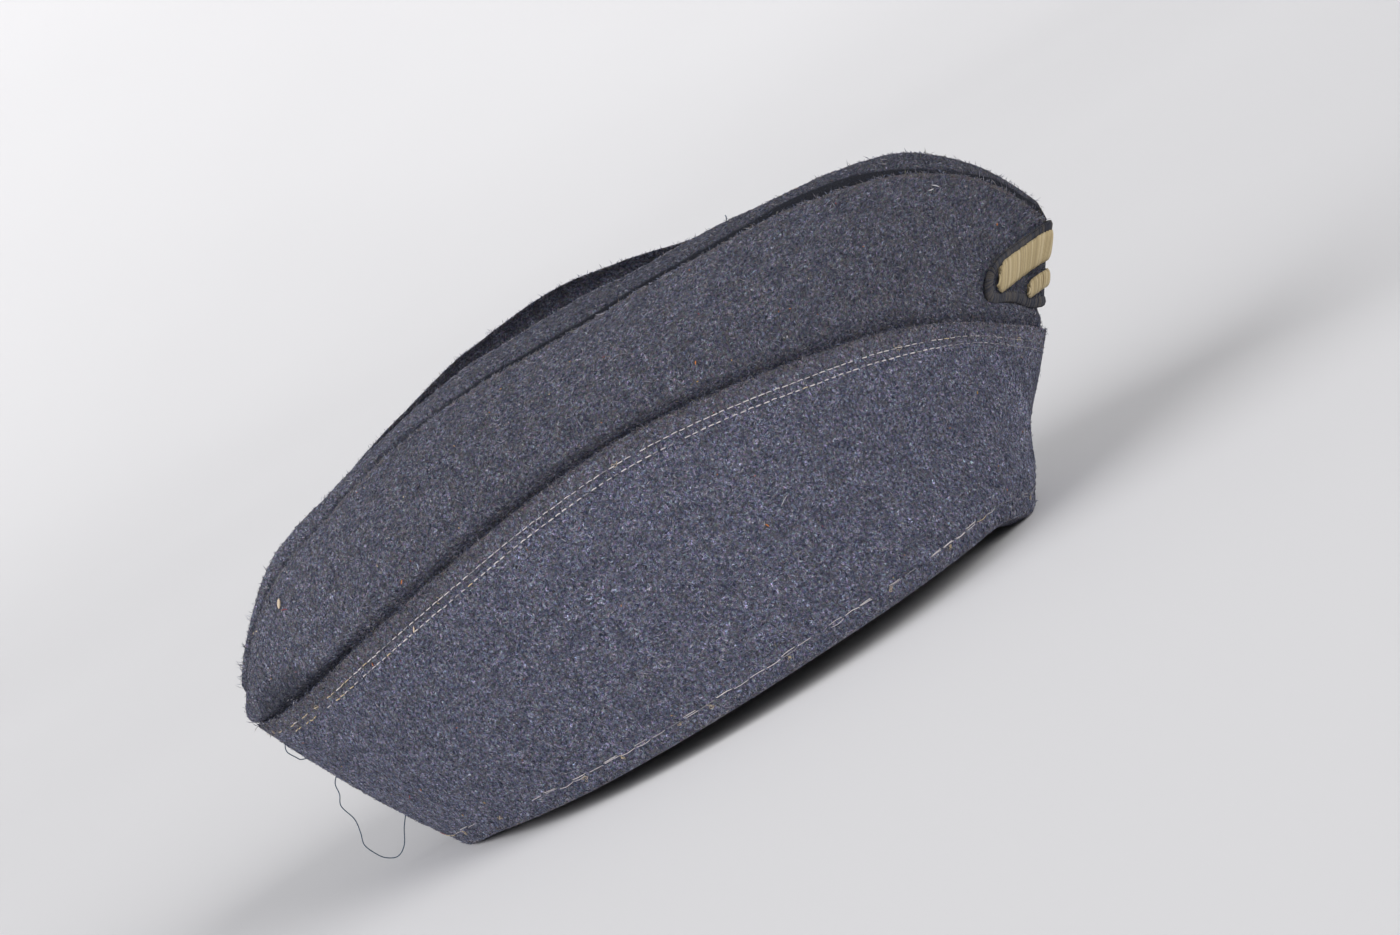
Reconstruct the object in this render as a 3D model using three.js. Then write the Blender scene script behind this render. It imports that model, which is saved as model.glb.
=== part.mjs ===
// Side cap: a soft boat-shaped wool cap, made of two crown panels that meet at a centre seam,
// a turned-up curtain in two halves, and a cloth badge on the front.
// Millimetres, +Z up, +X to the front, +Y to the wearer's left. The cap stands on its rim.
import * as THREE from 'three';

// ---- Driving dimensions -------------------------------------------------------------------

const CROWN_THICKNESS = 2.0;      // one layer of wool cloth
const ROOF_THICKNESS = 3.0;       // the same cloth, measured straight down through its sloping folds
const CURTAIN_THICKNESS = 2.4;    // two thin layers with a turned edge
const HEM_THICKNESS = 2.0;        // the curtain where it is turned in inside, up to its first row
const FOOT_THICKNESS = 2.3;       // cloth under the crown's lower edge
const PIECE_GAP = 0.3;            // between neighbouring pieces
const HEM_GAP = 0.5;              // between the crown and the hem inside it
const CURTAIN_STANDOFF = 1.3;     // the curtain's free top edge stands off the crown
const EGG = 0.05;                 // the back is this much wider than the front
const ROOF_START = 1.5;           // above this level the wall slopes in so far that it counts as roof
const DENT_END_FADE = 8;          // powers of the distance along the cap, from 0 in the middle to 1 at
const INSET_END_FADE = 4;         // its ends, by which dents and sideways insets fade there
const COLUMNS = 28;               // sections along each half
const COVERED_LEVELS = [0.18, 0.35, 0.55, 0.75, 0.9, 1.0];        // rows of the wall under the curtain
const OPEN_LEVELS = [1.08, 1.16, 1.28, 1.45, 1.65, 1.85, 1.94, 2.0];  // and above it, to the ridge

const RIGHT = -1;
const LEFT = 1;
const DEGREE = Math.PI / 180;

// Sections from the back seam (-90) over the middle (0) to the front seam (90): heights above the
// floor of the rim and of the curtain's free top edge.
const SIDES = [
  { angle: -90, rim: 0, edge: 62.5 },
  { angle: -75, rim: 0, edge: 63.5 },
  { angle: -60, rim: 3, edge: 67.8 },
  { angle: -45, rim: 4.2, edge: 75 },
  { angle: -30, rim: 5, edge: 81.6 },
  { angle: -15, rim: 6, edge: 87.4 },
  { angle: 0, rim: 6.8, edge: 90.6 },
  { angle: 15, rim: 7.2, edge: 88.6 },
  { angle: 30, rim: 7, edge: 83.8 },
  { angle: 45, rim: 6.6, edge: 77.2 },
  { angle: 60, rim: 5.5, edge: 66.6 },
  { angle: 75, rim: 0, edge: 54.6 },
  { angle: 90, rim: 0, edge: 46.6 },
];

// The top at the same sections: heights of the two ridges and of the centre seam between them, how far
// the seam stands to the left of the centre plane, and how deep the cloth dips on each side of it.
const TOP = [
  { angle: -90, ridgeRight: 71, ridgeLeft: 71, seam: 76.5, seamSide: 0, dipRight: 0, dipLeft: 0 },
  { angle: -75, ridgeRight: 88, ridgeLeft: 88, seam: 90.8, seamSide: -4, dipRight: 2, dipLeft: 3 },
  { angle: -60, ridgeRight: 101.5, ridgeLeft: 102, seam: 105.8, seamSide: -10, dipRight: 4, dipLeft: 10 },
  { angle: -45, ridgeRight: 110.2, ridgeLeft: 111, seam: 114.2, seamSide: -16, dipRight: 6, dipLeft: 18 },
  { angle: -30, ridgeRight: 118.7, ridgeLeft: 120.6, seam: 122, seamSide: -20, dipRight: 8, dipLeft: 26 },
  { angle: -15, ridgeRight: 122.5, ridgeLeft: 127.7, seam: 127.2, seamSide: -23, dipRight: 9, dipLeft: 30 },
  { angle: 0, ridgeRight: 122.9, ridgeLeft: 130.5, seam: 128.2, seamSide: -24, dipRight: 9, dipLeft: 31 },
  { angle: 15, ridgeRight: 122.6, ridgeLeft: 125.9, seam: 126.4, seamSide: -22, dipRight: 9, dipLeft: 28 },
  { angle: 30, ridgeRight: 121.2, ridgeLeft: 119.5, seam: 123.7, seamSide: -18, dipRight: 9, dipLeft: 23 },
  { angle: 45, ridgeRight: 117, ridgeLeft: 114.5, seam: 120, seamSide: -12, dipRight: 8, dipLeft: 16 },
  { angle: 60, ridgeRight: 108.5, ridgeLeft: 107, seam: 113.3, seamSide: -6, dipRight: 6, dipLeft: 10 },
  { angle: 75, ridgeRight: 95.2, ridgeLeft: 95, seam: 99, seamSide: -1, dipRight: 4, dipLeft: 4 },
  { angle: 90, ridgeRight: 74, ridgeLeft: 74, seam: 80.5, seamSide: 0, dipRight: 0, dipLeft: 0 },
];

// The wall from the rim (level 0) past the curtain's top edge (level 1) to the ridge (level 2): where
// its ends stand, and its half widths.
const LEVELS = [
  { level: 0, rear: -106.5, front: 94.6, right: 76.5, left: 76.5 },
  { level: 0.2, rear: -116, front: 100.5, right: 76.8, left: 76.8 },
  { level: 0.45, rear: -125.5, front: 105, right: 75.5, left: 75.5 },
  { level: 0.75, rear: -134.6, front: 115, right: 71.5, left: 71.5 },
  { level: 1, rear: -140.8, front: 122.6, right: 66.5, left: 66.5 },
  { level: 1.15, rear: -145.6, front: 126.5, right: 70.3, left: 70 },
  { level: 1.4, rear: -147, front: 131, right: 68.2, left: 67.5 },
  { level: 1.7, rear: -146.4, front: 136.6, right: 58, left: 55 },
  { level: 1.9, rear: -144.6, front: 141.2, right: 48, left: 40 },
  { level: 2, rear: -143.4, front: 144.6, right: 42, left: 28 },
];

// The same levels: how blunt the ends are in plan (0.5 is an ellipse, 1 a sharp point), how evenly the
// sections spread towards the ends, and how far an inset moves the ends.
const ENDS = [
  { level: 0, rearPoint: 0.5, frontPoint: 0.5, spread: 0, endShift: 1.05 },
  { level: 0.2, rearPoint: 0.58, frontPoint: 0.54, spread: 0.05, endShift: 1.1 },
  { level: 0.45, rearPoint: 0.68, frontPoint: 0.62, spread: 0.12, endShift: 1.2 },
  { level: 0.75, rearPoint: 0.78, frontPoint: 0.72, spread: 0.2, endShift: 1.3 },
  { level: 1, rearPoint: 0.86, frontPoint: 0.78, spread: 0.27, endShift: 1.4 },
  { level: 1.15, rearPoint: 0.88, frontPoint: 0.78, spread: 0.29, endShift: 1.45 },
  { level: 1.4, rearPoint: 0.9, frontPoint: 0.78, spread: 0.31, endShift: 1.5 },
  { level: 1.7, rearPoint: 0.92, frontPoint: 0.8, spread: 0.33, endShift: 1.55 },
  { level: 1.9, rearPoint: 0.94, frontPoint: 0.84, spread: 0.35, endShift: 1.6 },
  { level: 2, rearPoint: 0.95, frontPoint: 0.88, spread: 0.35, endShift: 1.6 },
];

// The folds between a ridge (across 0) and the seam (across 1), as shares of the fold's width and depth.
const RIGHT_FOLD = [
  { across: 0.10, drop: 0.55 },
  { across: 0.28, drop: 1.00 },
  { across: 0.55, drop: 0.72 },
  { across: 0.80, drop: 0.30 },
  { across: 1.00, drop: 0.00 },
];
const LEFT_FOLD = [
  { across: 0.05, drop: 0.22 },
  { across: 0.16, drop: 0.68 },
  { across: 0.30, drop: 0.95 },
  { across: 0.45, drop: 1.00 },
  { across: 0.70, drop: 0.80 },
  { across: 0.90, drop: 0.40 },
  { across: 1.00, drop: 0.00 },
];

// Dents (positive depth) and swellings (negative) pressed into crown and curtain together.
const DENTS = [
  { name: 'front shoulder', angle: 68, level: 0.75, angleReach: 7, levelReach: 0.35, depth: -1.6 },
  { name: 'front hollow', angle: 82, level: 0.75, angleReach: 6, levelReach: 0.35, depth: 1.4 },
  { name: 'back tuck', angle: -74, level: 1.15, angleReach: 9, levelReach: 0.14, depth: 1.6 },
  { name: 'side sag', angle: -20, level: 0.5, angleReach: 30, levelReach: 0.3, depth: 0.8 },
];

// ---- Tables and curves --------------------------------------------------------------------

function blend(from, to, share) {
  return from + (to - from) * share;
}

function smooth(from, to, value) {
  return THREE.MathUtils.smoothstep(value, from, to);
}

// A smooth curve through one column of a table, with the slope at each row taken from its neighbours.
function read(table, key, column, at) {
  let row = 0;
  while (row < table.length - 2 && at > table[row + 1][key]) row += 1;
  const position = (index) => table[index][key];
  const value = (index) => table[index][column];
  const slope = (index) => {
    const before = Math.max(index - 1, 0);
    const after = Math.min(index + 1, table.length - 1);
    return (value(after) - value(before)) / (position(after) - position(before));
  };
  const span = position(row + 1) - position(row);
  const share = THREE.MathUtils.clamp((at - position(row)) / span, 0, 1);
  const square = share * share;
  const cube = square * share;
  return (2 * cube - 3 * square + 1) * value(row)
    + (cube - 2 * square + share) * span * slope(row)
    + (3 * square - 2 * cube) * value(row + 1)
    + (cube - square) * span * slope(row + 1);
}

function rimHeight(angle) {
  return Math.max(read(SIDES, 'angle', 'rim', angle), 0);
}

function edgeHeight(angle) {
  return read(SIDES, 'angle', 'edge', angle);
}

function topAt(column, angle) {
  return read(TOP, 'angle', column, angle);
}

function ridgeHeight(side, angle) {
  return topAt(side === RIGHT ? 'ridgeRight' : 'ridgeLeft', angle);
}

function dentDepth(angle, level) {
  let depth = 0;
  for (const dent of DENTS) {
    const along = (angle - dent.angle) / dent.angleReach;
    const up = (level - dent.level) / dent.levelReach;
    depth += dent.depth * Math.exp(-along * along - up * up);
  }
  return depth;
}

// ---- The cap's surfaces -------------------------------------------------------------------

function wallHeight(side, angle, level) {
  if (level <= 1) return blend(rimHeight(angle), edgeHeight(angle), level);
  return blend(edgeHeight(angle), ridgeHeight(side, angle), level - 1);
}

function levelAt(side, angle, height) {
  const rim = rimHeight(angle);
  const edge = edgeHeight(angle);
  if (height <= edge) return (height - rim) / (edge - rim);
  return 1 + (height - edge) / (ridgeHeight(side, angle) - edge);
}

// A point on the crown's outer face from rim to ridge, or inset into it (negative: standing off it).
function wallPoint(side, angle, level, inset) {
  const at = THREE.MathUtils.clamp(level, 0, 2);
  const size = (column) => read(LEVELS, 'level', column, at);
  const end = (column) => read(ENDS, 'level', column, at);
  const along = blend(Math.sin(angle * DEGREE), angle / 90, end('spread'));
  const rear = size('rear');
  const front = size('front');
  const half = (front - rear) / 2;
  const inward = inset + dentDepth(angle, at) * (1 - along ** DENT_END_FADE);
  const point = blend(end('rearPoint'), end('frontPoint'), (1 + along) / 2);
  const plan = Math.pow(Math.max(1 - along * along, 0), point) * (1 - EGG * along);
  const roof = inset > 0 ? smooth(ROOF_START, 2, at) : 0;
  const halfWidth = size(side === RIGHT ? 'right' : 'left');
  const width = plan * halfWidth - inward * (1 - along ** INSET_END_FADE) * (1 - roof);
  return new THREE.Vector3(
    (rear + front) / 2 + along * (half - inset * end('endShift')),
    side * Math.max(width, PIECE_GAP / 2),
    wallHeight(side, angle, level) - inset * roof * ROOF_THICKNESS / CROWN_THICKNESS,
  );
}

// A point on the folded top between a ridge and the centre seam.
function foldPoint(side, angle, fold, inset) {
  const ridge = wallPoint(side, angle, 2, inset);
  const seamSide = topAt('seamSide', angle) + side * PIECE_GAP / 2;
  const seamHeight = topAt('seam', angle) - inset * ROOF_THICKNESS / CROWN_THICKNESS;
  const depth = topAt(side === RIGHT ? 'dipRight' : 'dipLeft', angle);
  return new THREE.Vector3(
    ridge.x,
    blend(ridge.y, seamSide, fold.across),
    blend(ridge.z, seamHeight, fold.across) - depth * fold.drop,
  );
}

// ---- Closed shells ------------------------------------------------------------------------

// Joins an outer and an inner grid of points, columns of rows, into one closed shell.
// The rows run so that column direction x row direction points out of the outer grid.
function shellGeometry(outer, inner) {
  const columns = outer.length;
  const rows = outer[0].length;
  const positions = [...outer.flat(), ...inner.flat()].flatMap((point) => point.toArray());
  const indices = [];
  const out = (column, row) => column * rows + row;
  const into = (column, row) => columns * rows + column * rows + row;
  const quad = (a, b, c, d) => indices.push(a, b, c, a, c, d);
  for (let column = 0; column < columns - 1; column += 1) {
    for (let row = 0; row < rows - 1; row += 1) {
      quad(out(column, row), out(column + 1, row), out(column + 1, row + 1), out(column, row + 1));
      quad(into(column, row), into(column, row + 1), into(column + 1, row + 1), into(column + 1, row));
    }
    quad(out(column, 0), into(column, 0), into(column + 1, 0), out(column + 1, 0));
    const top = rows - 1;
    quad(out(column, top), out(column + 1, top), into(column + 1, top), into(column, top));
  }
  for (let row = 0; row < rows - 1; row += 1) {
    quad(out(0, row), out(0, row + 1), into(0, row + 1), into(0, row));
    const last = columns - 1;
    quad(out(last, row), into(last, row), into(last, row + 1), out(last, row + 1));
  }
  const geometry = new THREE.BufferGeometry();
  geometry.setAttribute('position', new THREE.Float32BufferAttribute(positions, 3));
  geometry.setIndex(indices);
  geometry.computeVertexNormals();
  return geometry;
}

function columnAngles(side) {
  const angles = [];
  for (let column = 0; column <= COLUMNS; column += 1) {
    angles.push(-90 + 180 * column / COLUMNS);
  }
  return side === RIGHT ? angles : angles.reverse();
}

function crownGeometry(side) {
  const folds = side === RIGHT ? RIGHT_FOLD : LEFT_FOLD;
  const face = (inset) => columnAngles(side).map((angle) => {
    const rim = rimHeight(angle);
    const bottom = levelAt(side, angle, rim + FOOT_THICKNESS + PIECE_GAP);
    const levels = [bottom, ...COVERED_LEVELS, ...OPEN_LEVELS];
    const wall = levels.map((level) => wallPoint(side, angle, level, inset));
    const top = folds.map((fold) => foldPoint(side, angle, fold, inset));
    return [...wall, ...top];
  });
  return shellGeometry(face(0), face(CROWN_THICKNESS));
}

// The curtain runs from its hem inside the cap, down and under the crown, and up to its free top edge.
function curtainGeometry(side) {
  const hemOuter = CROWN_THICKNESS + HEM_GAP;
  const hemInner = hemOuter + HEM_THICKNESS;
  const face = (thickness, hemInset, footHeight) => columnAngles(side).map((angle) => {
    const foot = levelAt(side, angle, rimHeight(angle) + footHeight);
    const covering = COVERED_LEVELS.map((level) => {
      const standoff = blend(PIECE_GAP, CURTAIN_STANDOFF, level * level);
      return wallPoint(side, angle, level, -standoff - thickness);
    });
    return [
      wallPoint(side, angle, COVERED_LEVELS[0], hemInset),
      wallPoint(side, angle, foot, hemInset),
      wallPoint(side, angle, foot, -PIECE_GAP - thickness),
      ...covering,
    ];
  });
  return shellGeometry(face(CURTAIN_THICKNESS, hemInner, 0), face(0, hemOuter, FOOT_THICKNESS));
}

// ---- Badge --------------------------------------------------------------------------------

const BADGE_GAP = 0.8;
const BADGE_THICKNESS = 1.2;
const BAR_GAP = 0.6;
const BAR_THICKNESS = 0.7;
const BADGE_STEP = 2.6;           // between the badge's columns
const BADGE_COLUMNS = 12;         // on each side of the centre line
const BADGE_ROWS = 5;
const BAR_ROWS = 3;
const WALK_STEP = 0.5;            // degrees between the points that distances round the front are added over

// The badge's outline by distance from the centre line: heights of its lower and upper edges.
const BADGE_OUTLINE = [
  { reach: 0, low: 51.5, high: 73.0 },
  { reach: 8, low: 54.0, high: 73.0 },
  { reach: 16, low: 58.5, high: 73.0 },
  { reach: 24, low: 61.5, high: 73.0 },
  { reach: 29, low: 63.0, high: 71.8 },
  { reach: 31, low: 65.5, high: 69.5 },
];
const BARS = [
  { name: 'badge_bar_upper', low: 64.0, high: 71.5, columns: 10 },
  { name: 'badge_bar_lower', low: 57.0, high: 61.5, columns: 4 },
];

// The point at a height on the front, a distance round from the centre line, standing off the crown.
function frontPoint(reach, height, standoff) {
  const side = reach < 0 ? RIGHT : LEFT;
  let angle = 90;
  let travelled = 0;
  let here = wallPoint(side, angle, levelAt(side, angle, height), -standoff);
  while (travelled < Math.abs(reach)) {
    const next = wallPoint(side, angle - WALK_STEP, levelAt(side, angle - WALK_STEP, height), -standoff);
    const length = next.distanceTo(here);
    const share = Math.min((Math.abs(reach) - travelled) / length, 1);
    here = here.clone().lerp(next, share);
    travelled += length;
    angle -= WALK_STEP;
  }
  if (reach === 0) here.y = 0;
  return here;
}

// A patch on the front, this many columns to each side of the centre line, between its low and high edges.
function frontPatchGeometry(columns, rows, edges, standoff, thickness) {
  const face = (off) => {
    const grid = [];
    for (let column = -columns; column <= columns; column += 1) {
      const reach = column * BADGE_STEP;
      const { low, high } = edges(Math.abs(reach));
      const points = [];
      for (let row = 0; row <= rows; row += 1) {
        points.push(frontPoint(reach, blend(low, high, row / rows), off));
      }
      grid.push(points);
    }
    return grid;
  };
  return shellGeometry(face(standoff + thickness), face(standoff));
}

// ---- Assembly -----------------------------------------------------------------------------

const wool = new THREE.MeshStandardMaterial({ color: 0x474c5a, roughness: 0.95, metalness: 0 });
const darkWool = new THREE.MeshStandardMaterial({ color: 0x30343e, roughness: 0.95, metalness: 0 });
const tanThread = new THREE.MeshStandardMaterial({ color: 0xb2a57d, roughness: 0.8, metalness: 0 });

function addPiece(group, name, geometry, material) {
  const mesh = new THREE.Mesh(geometry, material);
  mesh.name = name;
  group.add(mesh);
}

const cap = new THREE.Group();
addPiece(cap, 'crown_right', crownGeometry(RIGHT), wool);
addPiece(cap, 'crown_left', crownGeometry(LEFT), wool);
addPiece(cap, 'curtain_right', curtainGeometry(RIGHT), wool);
addPiece(cap, 'curtain_left', curtainGeometry(LEFT), wool);

const badgeEdges = (reach) => ({
  low: read(BADGE_OUTLINE, 'reach', 'low', reach),
  high: read(BADGE_OUTLINE, 'reach', 'high', reach),
});
const patch = frontPatchGeometry(BADGE_COLUMNS, BADGE_ROWS, badgeEdges, BADGE_GAP, BADGE_THICKNESS);
addPiece(cap, 'badge_patch', patch, darkWool);
const barStandoff = BADGE_GAP + BADGE_THICKNESS + BAR_GAP;
for (const bar of BARS) {
  const geometry = frontPatchGeometry(bar.columns, BAR_ROWS, () => bar, barStandoff, BAR_THICKNESS);
  addPiece(cap, bar.name, geometry, tanThread);
}

// The frame's origin is under the middle of the cap.
const box = new THREE.Box3().setFromObject(cap);
cap.position.set(-(box.min.x + box.max.x) / 2, -(box.min.y + box.max.y) / 2, -box.min.z);

export default cap;
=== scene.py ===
import math

import bmesh
import bpy
import numpy as np
from mathutils import Matrix, Vector


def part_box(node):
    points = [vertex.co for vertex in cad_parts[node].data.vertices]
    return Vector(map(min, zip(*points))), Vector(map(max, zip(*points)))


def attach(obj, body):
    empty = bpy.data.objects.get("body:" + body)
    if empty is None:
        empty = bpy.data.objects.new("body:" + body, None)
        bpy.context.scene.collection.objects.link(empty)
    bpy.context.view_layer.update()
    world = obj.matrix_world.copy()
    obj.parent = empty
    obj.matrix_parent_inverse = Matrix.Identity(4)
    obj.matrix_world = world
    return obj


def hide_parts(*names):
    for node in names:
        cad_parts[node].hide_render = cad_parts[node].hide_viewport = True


# The looks of a soft boat-shaped wool cap: two crown panels that meet at a centre seam, a turned-up
# curtain in two halves, and a cloth badge on the front. Shapes are worked out in millimetres, with +X to
# the front, +Y to the wearer's left and +Z up, and moved into the frame in metres when a mesh is made.

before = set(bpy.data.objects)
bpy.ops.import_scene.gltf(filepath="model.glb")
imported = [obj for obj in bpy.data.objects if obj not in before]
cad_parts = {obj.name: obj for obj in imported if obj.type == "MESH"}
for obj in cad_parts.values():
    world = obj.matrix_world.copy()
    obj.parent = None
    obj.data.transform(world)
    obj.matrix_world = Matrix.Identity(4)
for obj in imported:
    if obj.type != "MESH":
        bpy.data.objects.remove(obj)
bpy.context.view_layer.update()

MM = 0.001
RIGHT = -1
LEFT = 1

# ---- The cap's shape ----

# The tables start from the CAD model's. The rim's ends, the curtain's free edge, the folded top and the
# dents are worked further here, towards the photo.
CROWN_THICKNESS = 2.0
ROOF_THICKNESS = 3.0
CURTAIN_THICKNESS = 2.4
HEM_THICKNESS = 2.0
FOOT_THICKNESS = 2.3
PIECE_GAP = 0.3
HEM_INSET = CROWN_THICKNESS + 0.5
CURTAIN_STANDOFF = 1.3
EGG = 0.05                        # how much wider the cap is behind its middle
ROOF_START = 1.5
DENT_END_FADE = 8
INSET_END_FADE = 4

# Sections from the back seam (-90) over the middle (0) to the front seam (90).
SIDES = {
    "angle": (-90, -83, -75, -60, -45, -30, -15, 0, 15, 30, 45, 60, 75, 83, 90),
    "rim": (1.8, 0.3, 0, 3, 4.2, 5, 6, 6.8, 7.2, 7, 6.6, 5.5, 0, 0.3, 1.5),
    "edge": (62.5, 62.9, 63.5, 67.8, 75, 81.6, 87.4, 90.6, 88.4, 82.6, 75.4, 64.9, 53.2, 48.5, 44.4),
}
TOP = {
    "angle": (-90, -75, -60, -45, -30, -15, 0, 15, 30, 45, 60, 75, 90),
    "ridgeRight": (71, 88, 101.5, 110.2, 118.7, 122.5, 122.9, 122.6, 121.2, 117, 108.5, 95.2, 74),
    "ridgeLeft": (71, 88, 102, 111, 120.6, 127.7, 130.5, 125.9, 119.5, 114.5, 107, 95, 74),
    "seam": (76.5, 90.8, 105.8, 114.2, 122, 127.2, 128.2, 126.6, 124.5, 121.2, 115, 100.6, 80.8),
    "seamSide": (0, -4, -10, -16, -20, -23, -24, -22, -18, -12, -6, -1, 0),
    "dipRight": (0, 2, 4, 6, 8, 9, 9, 9, 9, 8, 6, 4, 0),
    "dipLeft": (0, 3, 10, 18, 26, 30, 31, 28, 23, 16, 10, 4, 0),
}
# Plans of the cap at heights from its rim (level 0) over the curtain's free edge (1) to the ridges (2).
LEVELS = {
    "level": (0, 0.2, 0.45, 0.75, 1, 1.15, 1.4, 1.7, 1.9, 2),
    "rear": (-106.5, -116, -125.5, -134.6, -140.8, -145.6, -147, -146.4, -144.6, -143.4),
    "front": (94.6, 100.5, 105, 115, 122.6, 126.5, 131, 136.6, 141.2, 144.6),
    "right": (76.5, 76.8, 75.5, 71.5, 66.5, 70.3, 68.2, 58, 48, 42),
    "left": (76.5, 76.8, 75.5, 71.5, 66.5, 70, 67.5, 55, 40, 28),
    "rearPoint": (0.5, 0.58, 0.68, 0.78, 0.86, 0.88, 0.9, 0.92, 0.94, 0.95),
    "frontPoint": (0.5, 0.54, 0.62, 0.72, 0.78, 0.78, 0.78, 0.8, 0.84, 0.88),
    "spread": (0, 0.05, 0.12, 0.2, 0.27, 0.29, 0.31, 0.33, 0.35, 0.35),
    "endShift": (1.05, 1.1, 1.2, 1.3, 1.4, 1.45, 1.5, 1.55, 1.6, 1.6),
}
# The cloth between a ridge and the seam. On the right a narrow slit and then the seam's soft roll; on the
# left the ridge hangs over the valley.
FOLDS = {
    RIGHT: {
        "across": (0, 0.03, 0.07, 0.13, 0.19, 0.22, 0.27, 0.38, 0.60, 0.85, 1),
        "drop": (0, 0.35, 0.75, 1.0, 0.85, 0.50, 0.20, 0.02, -0.05, -0.06, 0),
    },
    LEFT: {
        "across": (0, -0.06, -0.10, -0.07, 0.04, 0.22, 0.45, 0.70, 0.88, 1),
        "drop": (0, 0.10, 0.28, 0.50, 0.78, 0.97, 1.0, 0.80, 0.42, 0),
    },
}
# Dents in the sides: where each is, how far it reaches and how deep it is (negative: it stands out).
DENTS = {
    "angle": (68, 82, -74, -20),
    "level": (0.75, 0.75, 1.15, 0.5),
    "angleReach": (7, 6, 9, 30),
    "levelReach": (0.35, 0.35, 0.15, 0.3),
    "depth": (-1.6, 1.4, 3.1, 0.8),
}
# The cloth isn't quite even: the same slow waves run through every piece, so the gaps stay as they are.
WAVES = (
    # wavelength, how far it moves the cloth, direction it runs in, phase
    (61, 0.55, (1.0, 0.3, 0.5), 0.4),
    (43, 0.40, (-0.6, 0.2, 1.0), 2.1),
    (27, 0.22, (0.9, -0.4, -0.7), 4.0),
    (17, 0.13, (0.3, 0.8, 1.0), 1.2),
    (11, 0.08, (-1.0, 0.5, 0.4), 5.3),
)

# ---- Curves ----


def curve(table, column, at):
    """A smooth curve through a column of a table, over its first one. Slopes follow the neighbouring rows."""
    knots, values = (np.array(table[name], float) for name in (next(iter(table)), column))
    slopes = np.empty_like(values)
    slopes[1:-1] = (values[2:] - values[:-2]) / (knots[2:] - knots[:-2])
    slopes[[0, -1]] = np.diff(values)[[0, -1]] / np.diff(knots)[[0, -1]]
    at = np.clip(at, knots[0], knots[-1])
    row = np.clip(np.searchsorted(knots, at) - 1, 0, len(knots) - 2)
    span = knots[row + 1] - knots[row]
    t = (at - knots[row]) / span
    return (
        (2 * t**3 - 3 * t**2 + 1) * values[row]
        + (t**3 - 2 * t**2 + t) * span * slopes[row]
        + (3 * t**2 - 2 * t**3) * values[row + 1]
        + (t**3 - t**2) * span * slopes[row + 1]
    )


def mix(a, b, share):
    return a + (b - a) * share


def smooth(start, end, value):
    """A soft step from 0 at the start to 1 at the end."""
    t = np.clip((value - start) / (end - start), 0, 1)
    return t * t * (3 - 2 * t)


def near(value, middle, reach):
    """1 where the value is the middle, and falling off softly over the reach to both sides."""
    return np.exp(-(((value - middle) / reach) ** 2))


def unit(vectors):
    return vectors / np.maximum(np.linalg.norm(vectors, axis=-1, keepdims=True), 1e-9)


def distances(points, axis=0):
    """How far each point of a line or a grid is from its start, measured along the points."""
    steps = np.linalg.norm(np.diff(points, axis=axis), axis=-1)
    start = np.zeros_like(np.take(steps, [0], axis=axis))
    return np.concatenate([start, np.cumsum(steps, axis=axis)], axis=axis)


def sample(places, at, line):
    """A line's values at some places along it. at holds the place of each of its points."""
    return np.stack([np.interp(places, at, column) for column in line.T], axis=-1)


def blurred(values, step, reach, closed, tails=3):
    """A soft average along the first axis of values one step apart. It takes in tails times its reach."""
    half = math.ceil(tails * reach / step)
    weights = np.exp(-0.5 * (np.arange(-half, half + 1) * step / reach) ** 2)
    weights /= weights.sum()
    if closed:
        before, after = values[-half:], values[:half]
    else:
        before, after = 2 * values[0] - values[half:0:-1], 2 * values[-1] - values[-2:-half - 2:-1]
    padded = np.concatenate([before, values, after])
    return sum(weight * padded[k:k + len(values)] for k, weight in enumerate(weights))


# ---- Surfaces ----


def rim_height(angle):
    return np.maximum(curve(SIDES, "rim", angle), 0)


def edge_height(angle):
    return curve(SIDES, "edge", angle)


def ridge_height(side, angle):
    return curve(TOP, "ridgeRight" if side == RIGHT else "ridgeLeft", angle)


def level_at(side, angle, height):
    rim, edge = rim_height(angle), edge_height(angle)
    above = 1 + (height - edge) / (ridge_height(side, angle) - edge)
    return np.where(height <= edge, (height - rim) / (edge - rim), above)


def dent_depth(angle, level):
    dents = zip(*DENTS.values())
    return sum(deep * near(angle, at, wide) * near(level, up, tall) for at, up, wide, tall, deep in dents)


def wall(side, angle, level, inset):
    """Points of the crown's outer face from rim to ridge, or inset into it (negative: standing off it)."""
    angle, level, inset = np.broadcast_arrays(*(np.asarray(x, float) for x in (angle, level, inset)))
    at = np.clip(level, 0, 2)
    names = ("rear", "front", "rearPoint", "frontPoint", "spread", "endShift")
    rear, front, rear_point, front_point, spread, shift = (curve(LEVELS, name, at) for name in names)
    half_width = curve(LEVELS, "right" if side == RIGHT else "left", at)
    along = mix(np.sin(np.radians(angle)), angle / 90, spread)
    inward = inset + dent_depth(angle, at) * (1 - along**DENT_END_FADE)
    point = mix(rear_point, front_point, (1 + along) / 2)
    plan = np.maximum(1 - along * along, 0) ** point * (1 - EGG * along)
    roof = np.where(inset > 0, smooth(ROOF_START, 2, at), 0)
    width = plan * half_width - inward * (1 - along**INSET_END_FADE) * (1 - roof)
    x = (rear + front) / 2 + along * ((front - rear) / 2 - inset * shift)
    y = side * np.maximum(width, PIECE_GAP / 2)
    edge = edge_height(angle)
    low = mix(rim_height(angle), edge, level)
    z = np.where(level <= 1, low, mix(edge, ridge_height(side, angle), level - 1))
    z = z - inset * roof * ROOF_THICKNESS / CROWN_THICKNESS
    return np.stack([x, y, z], axis=-1)


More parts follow.
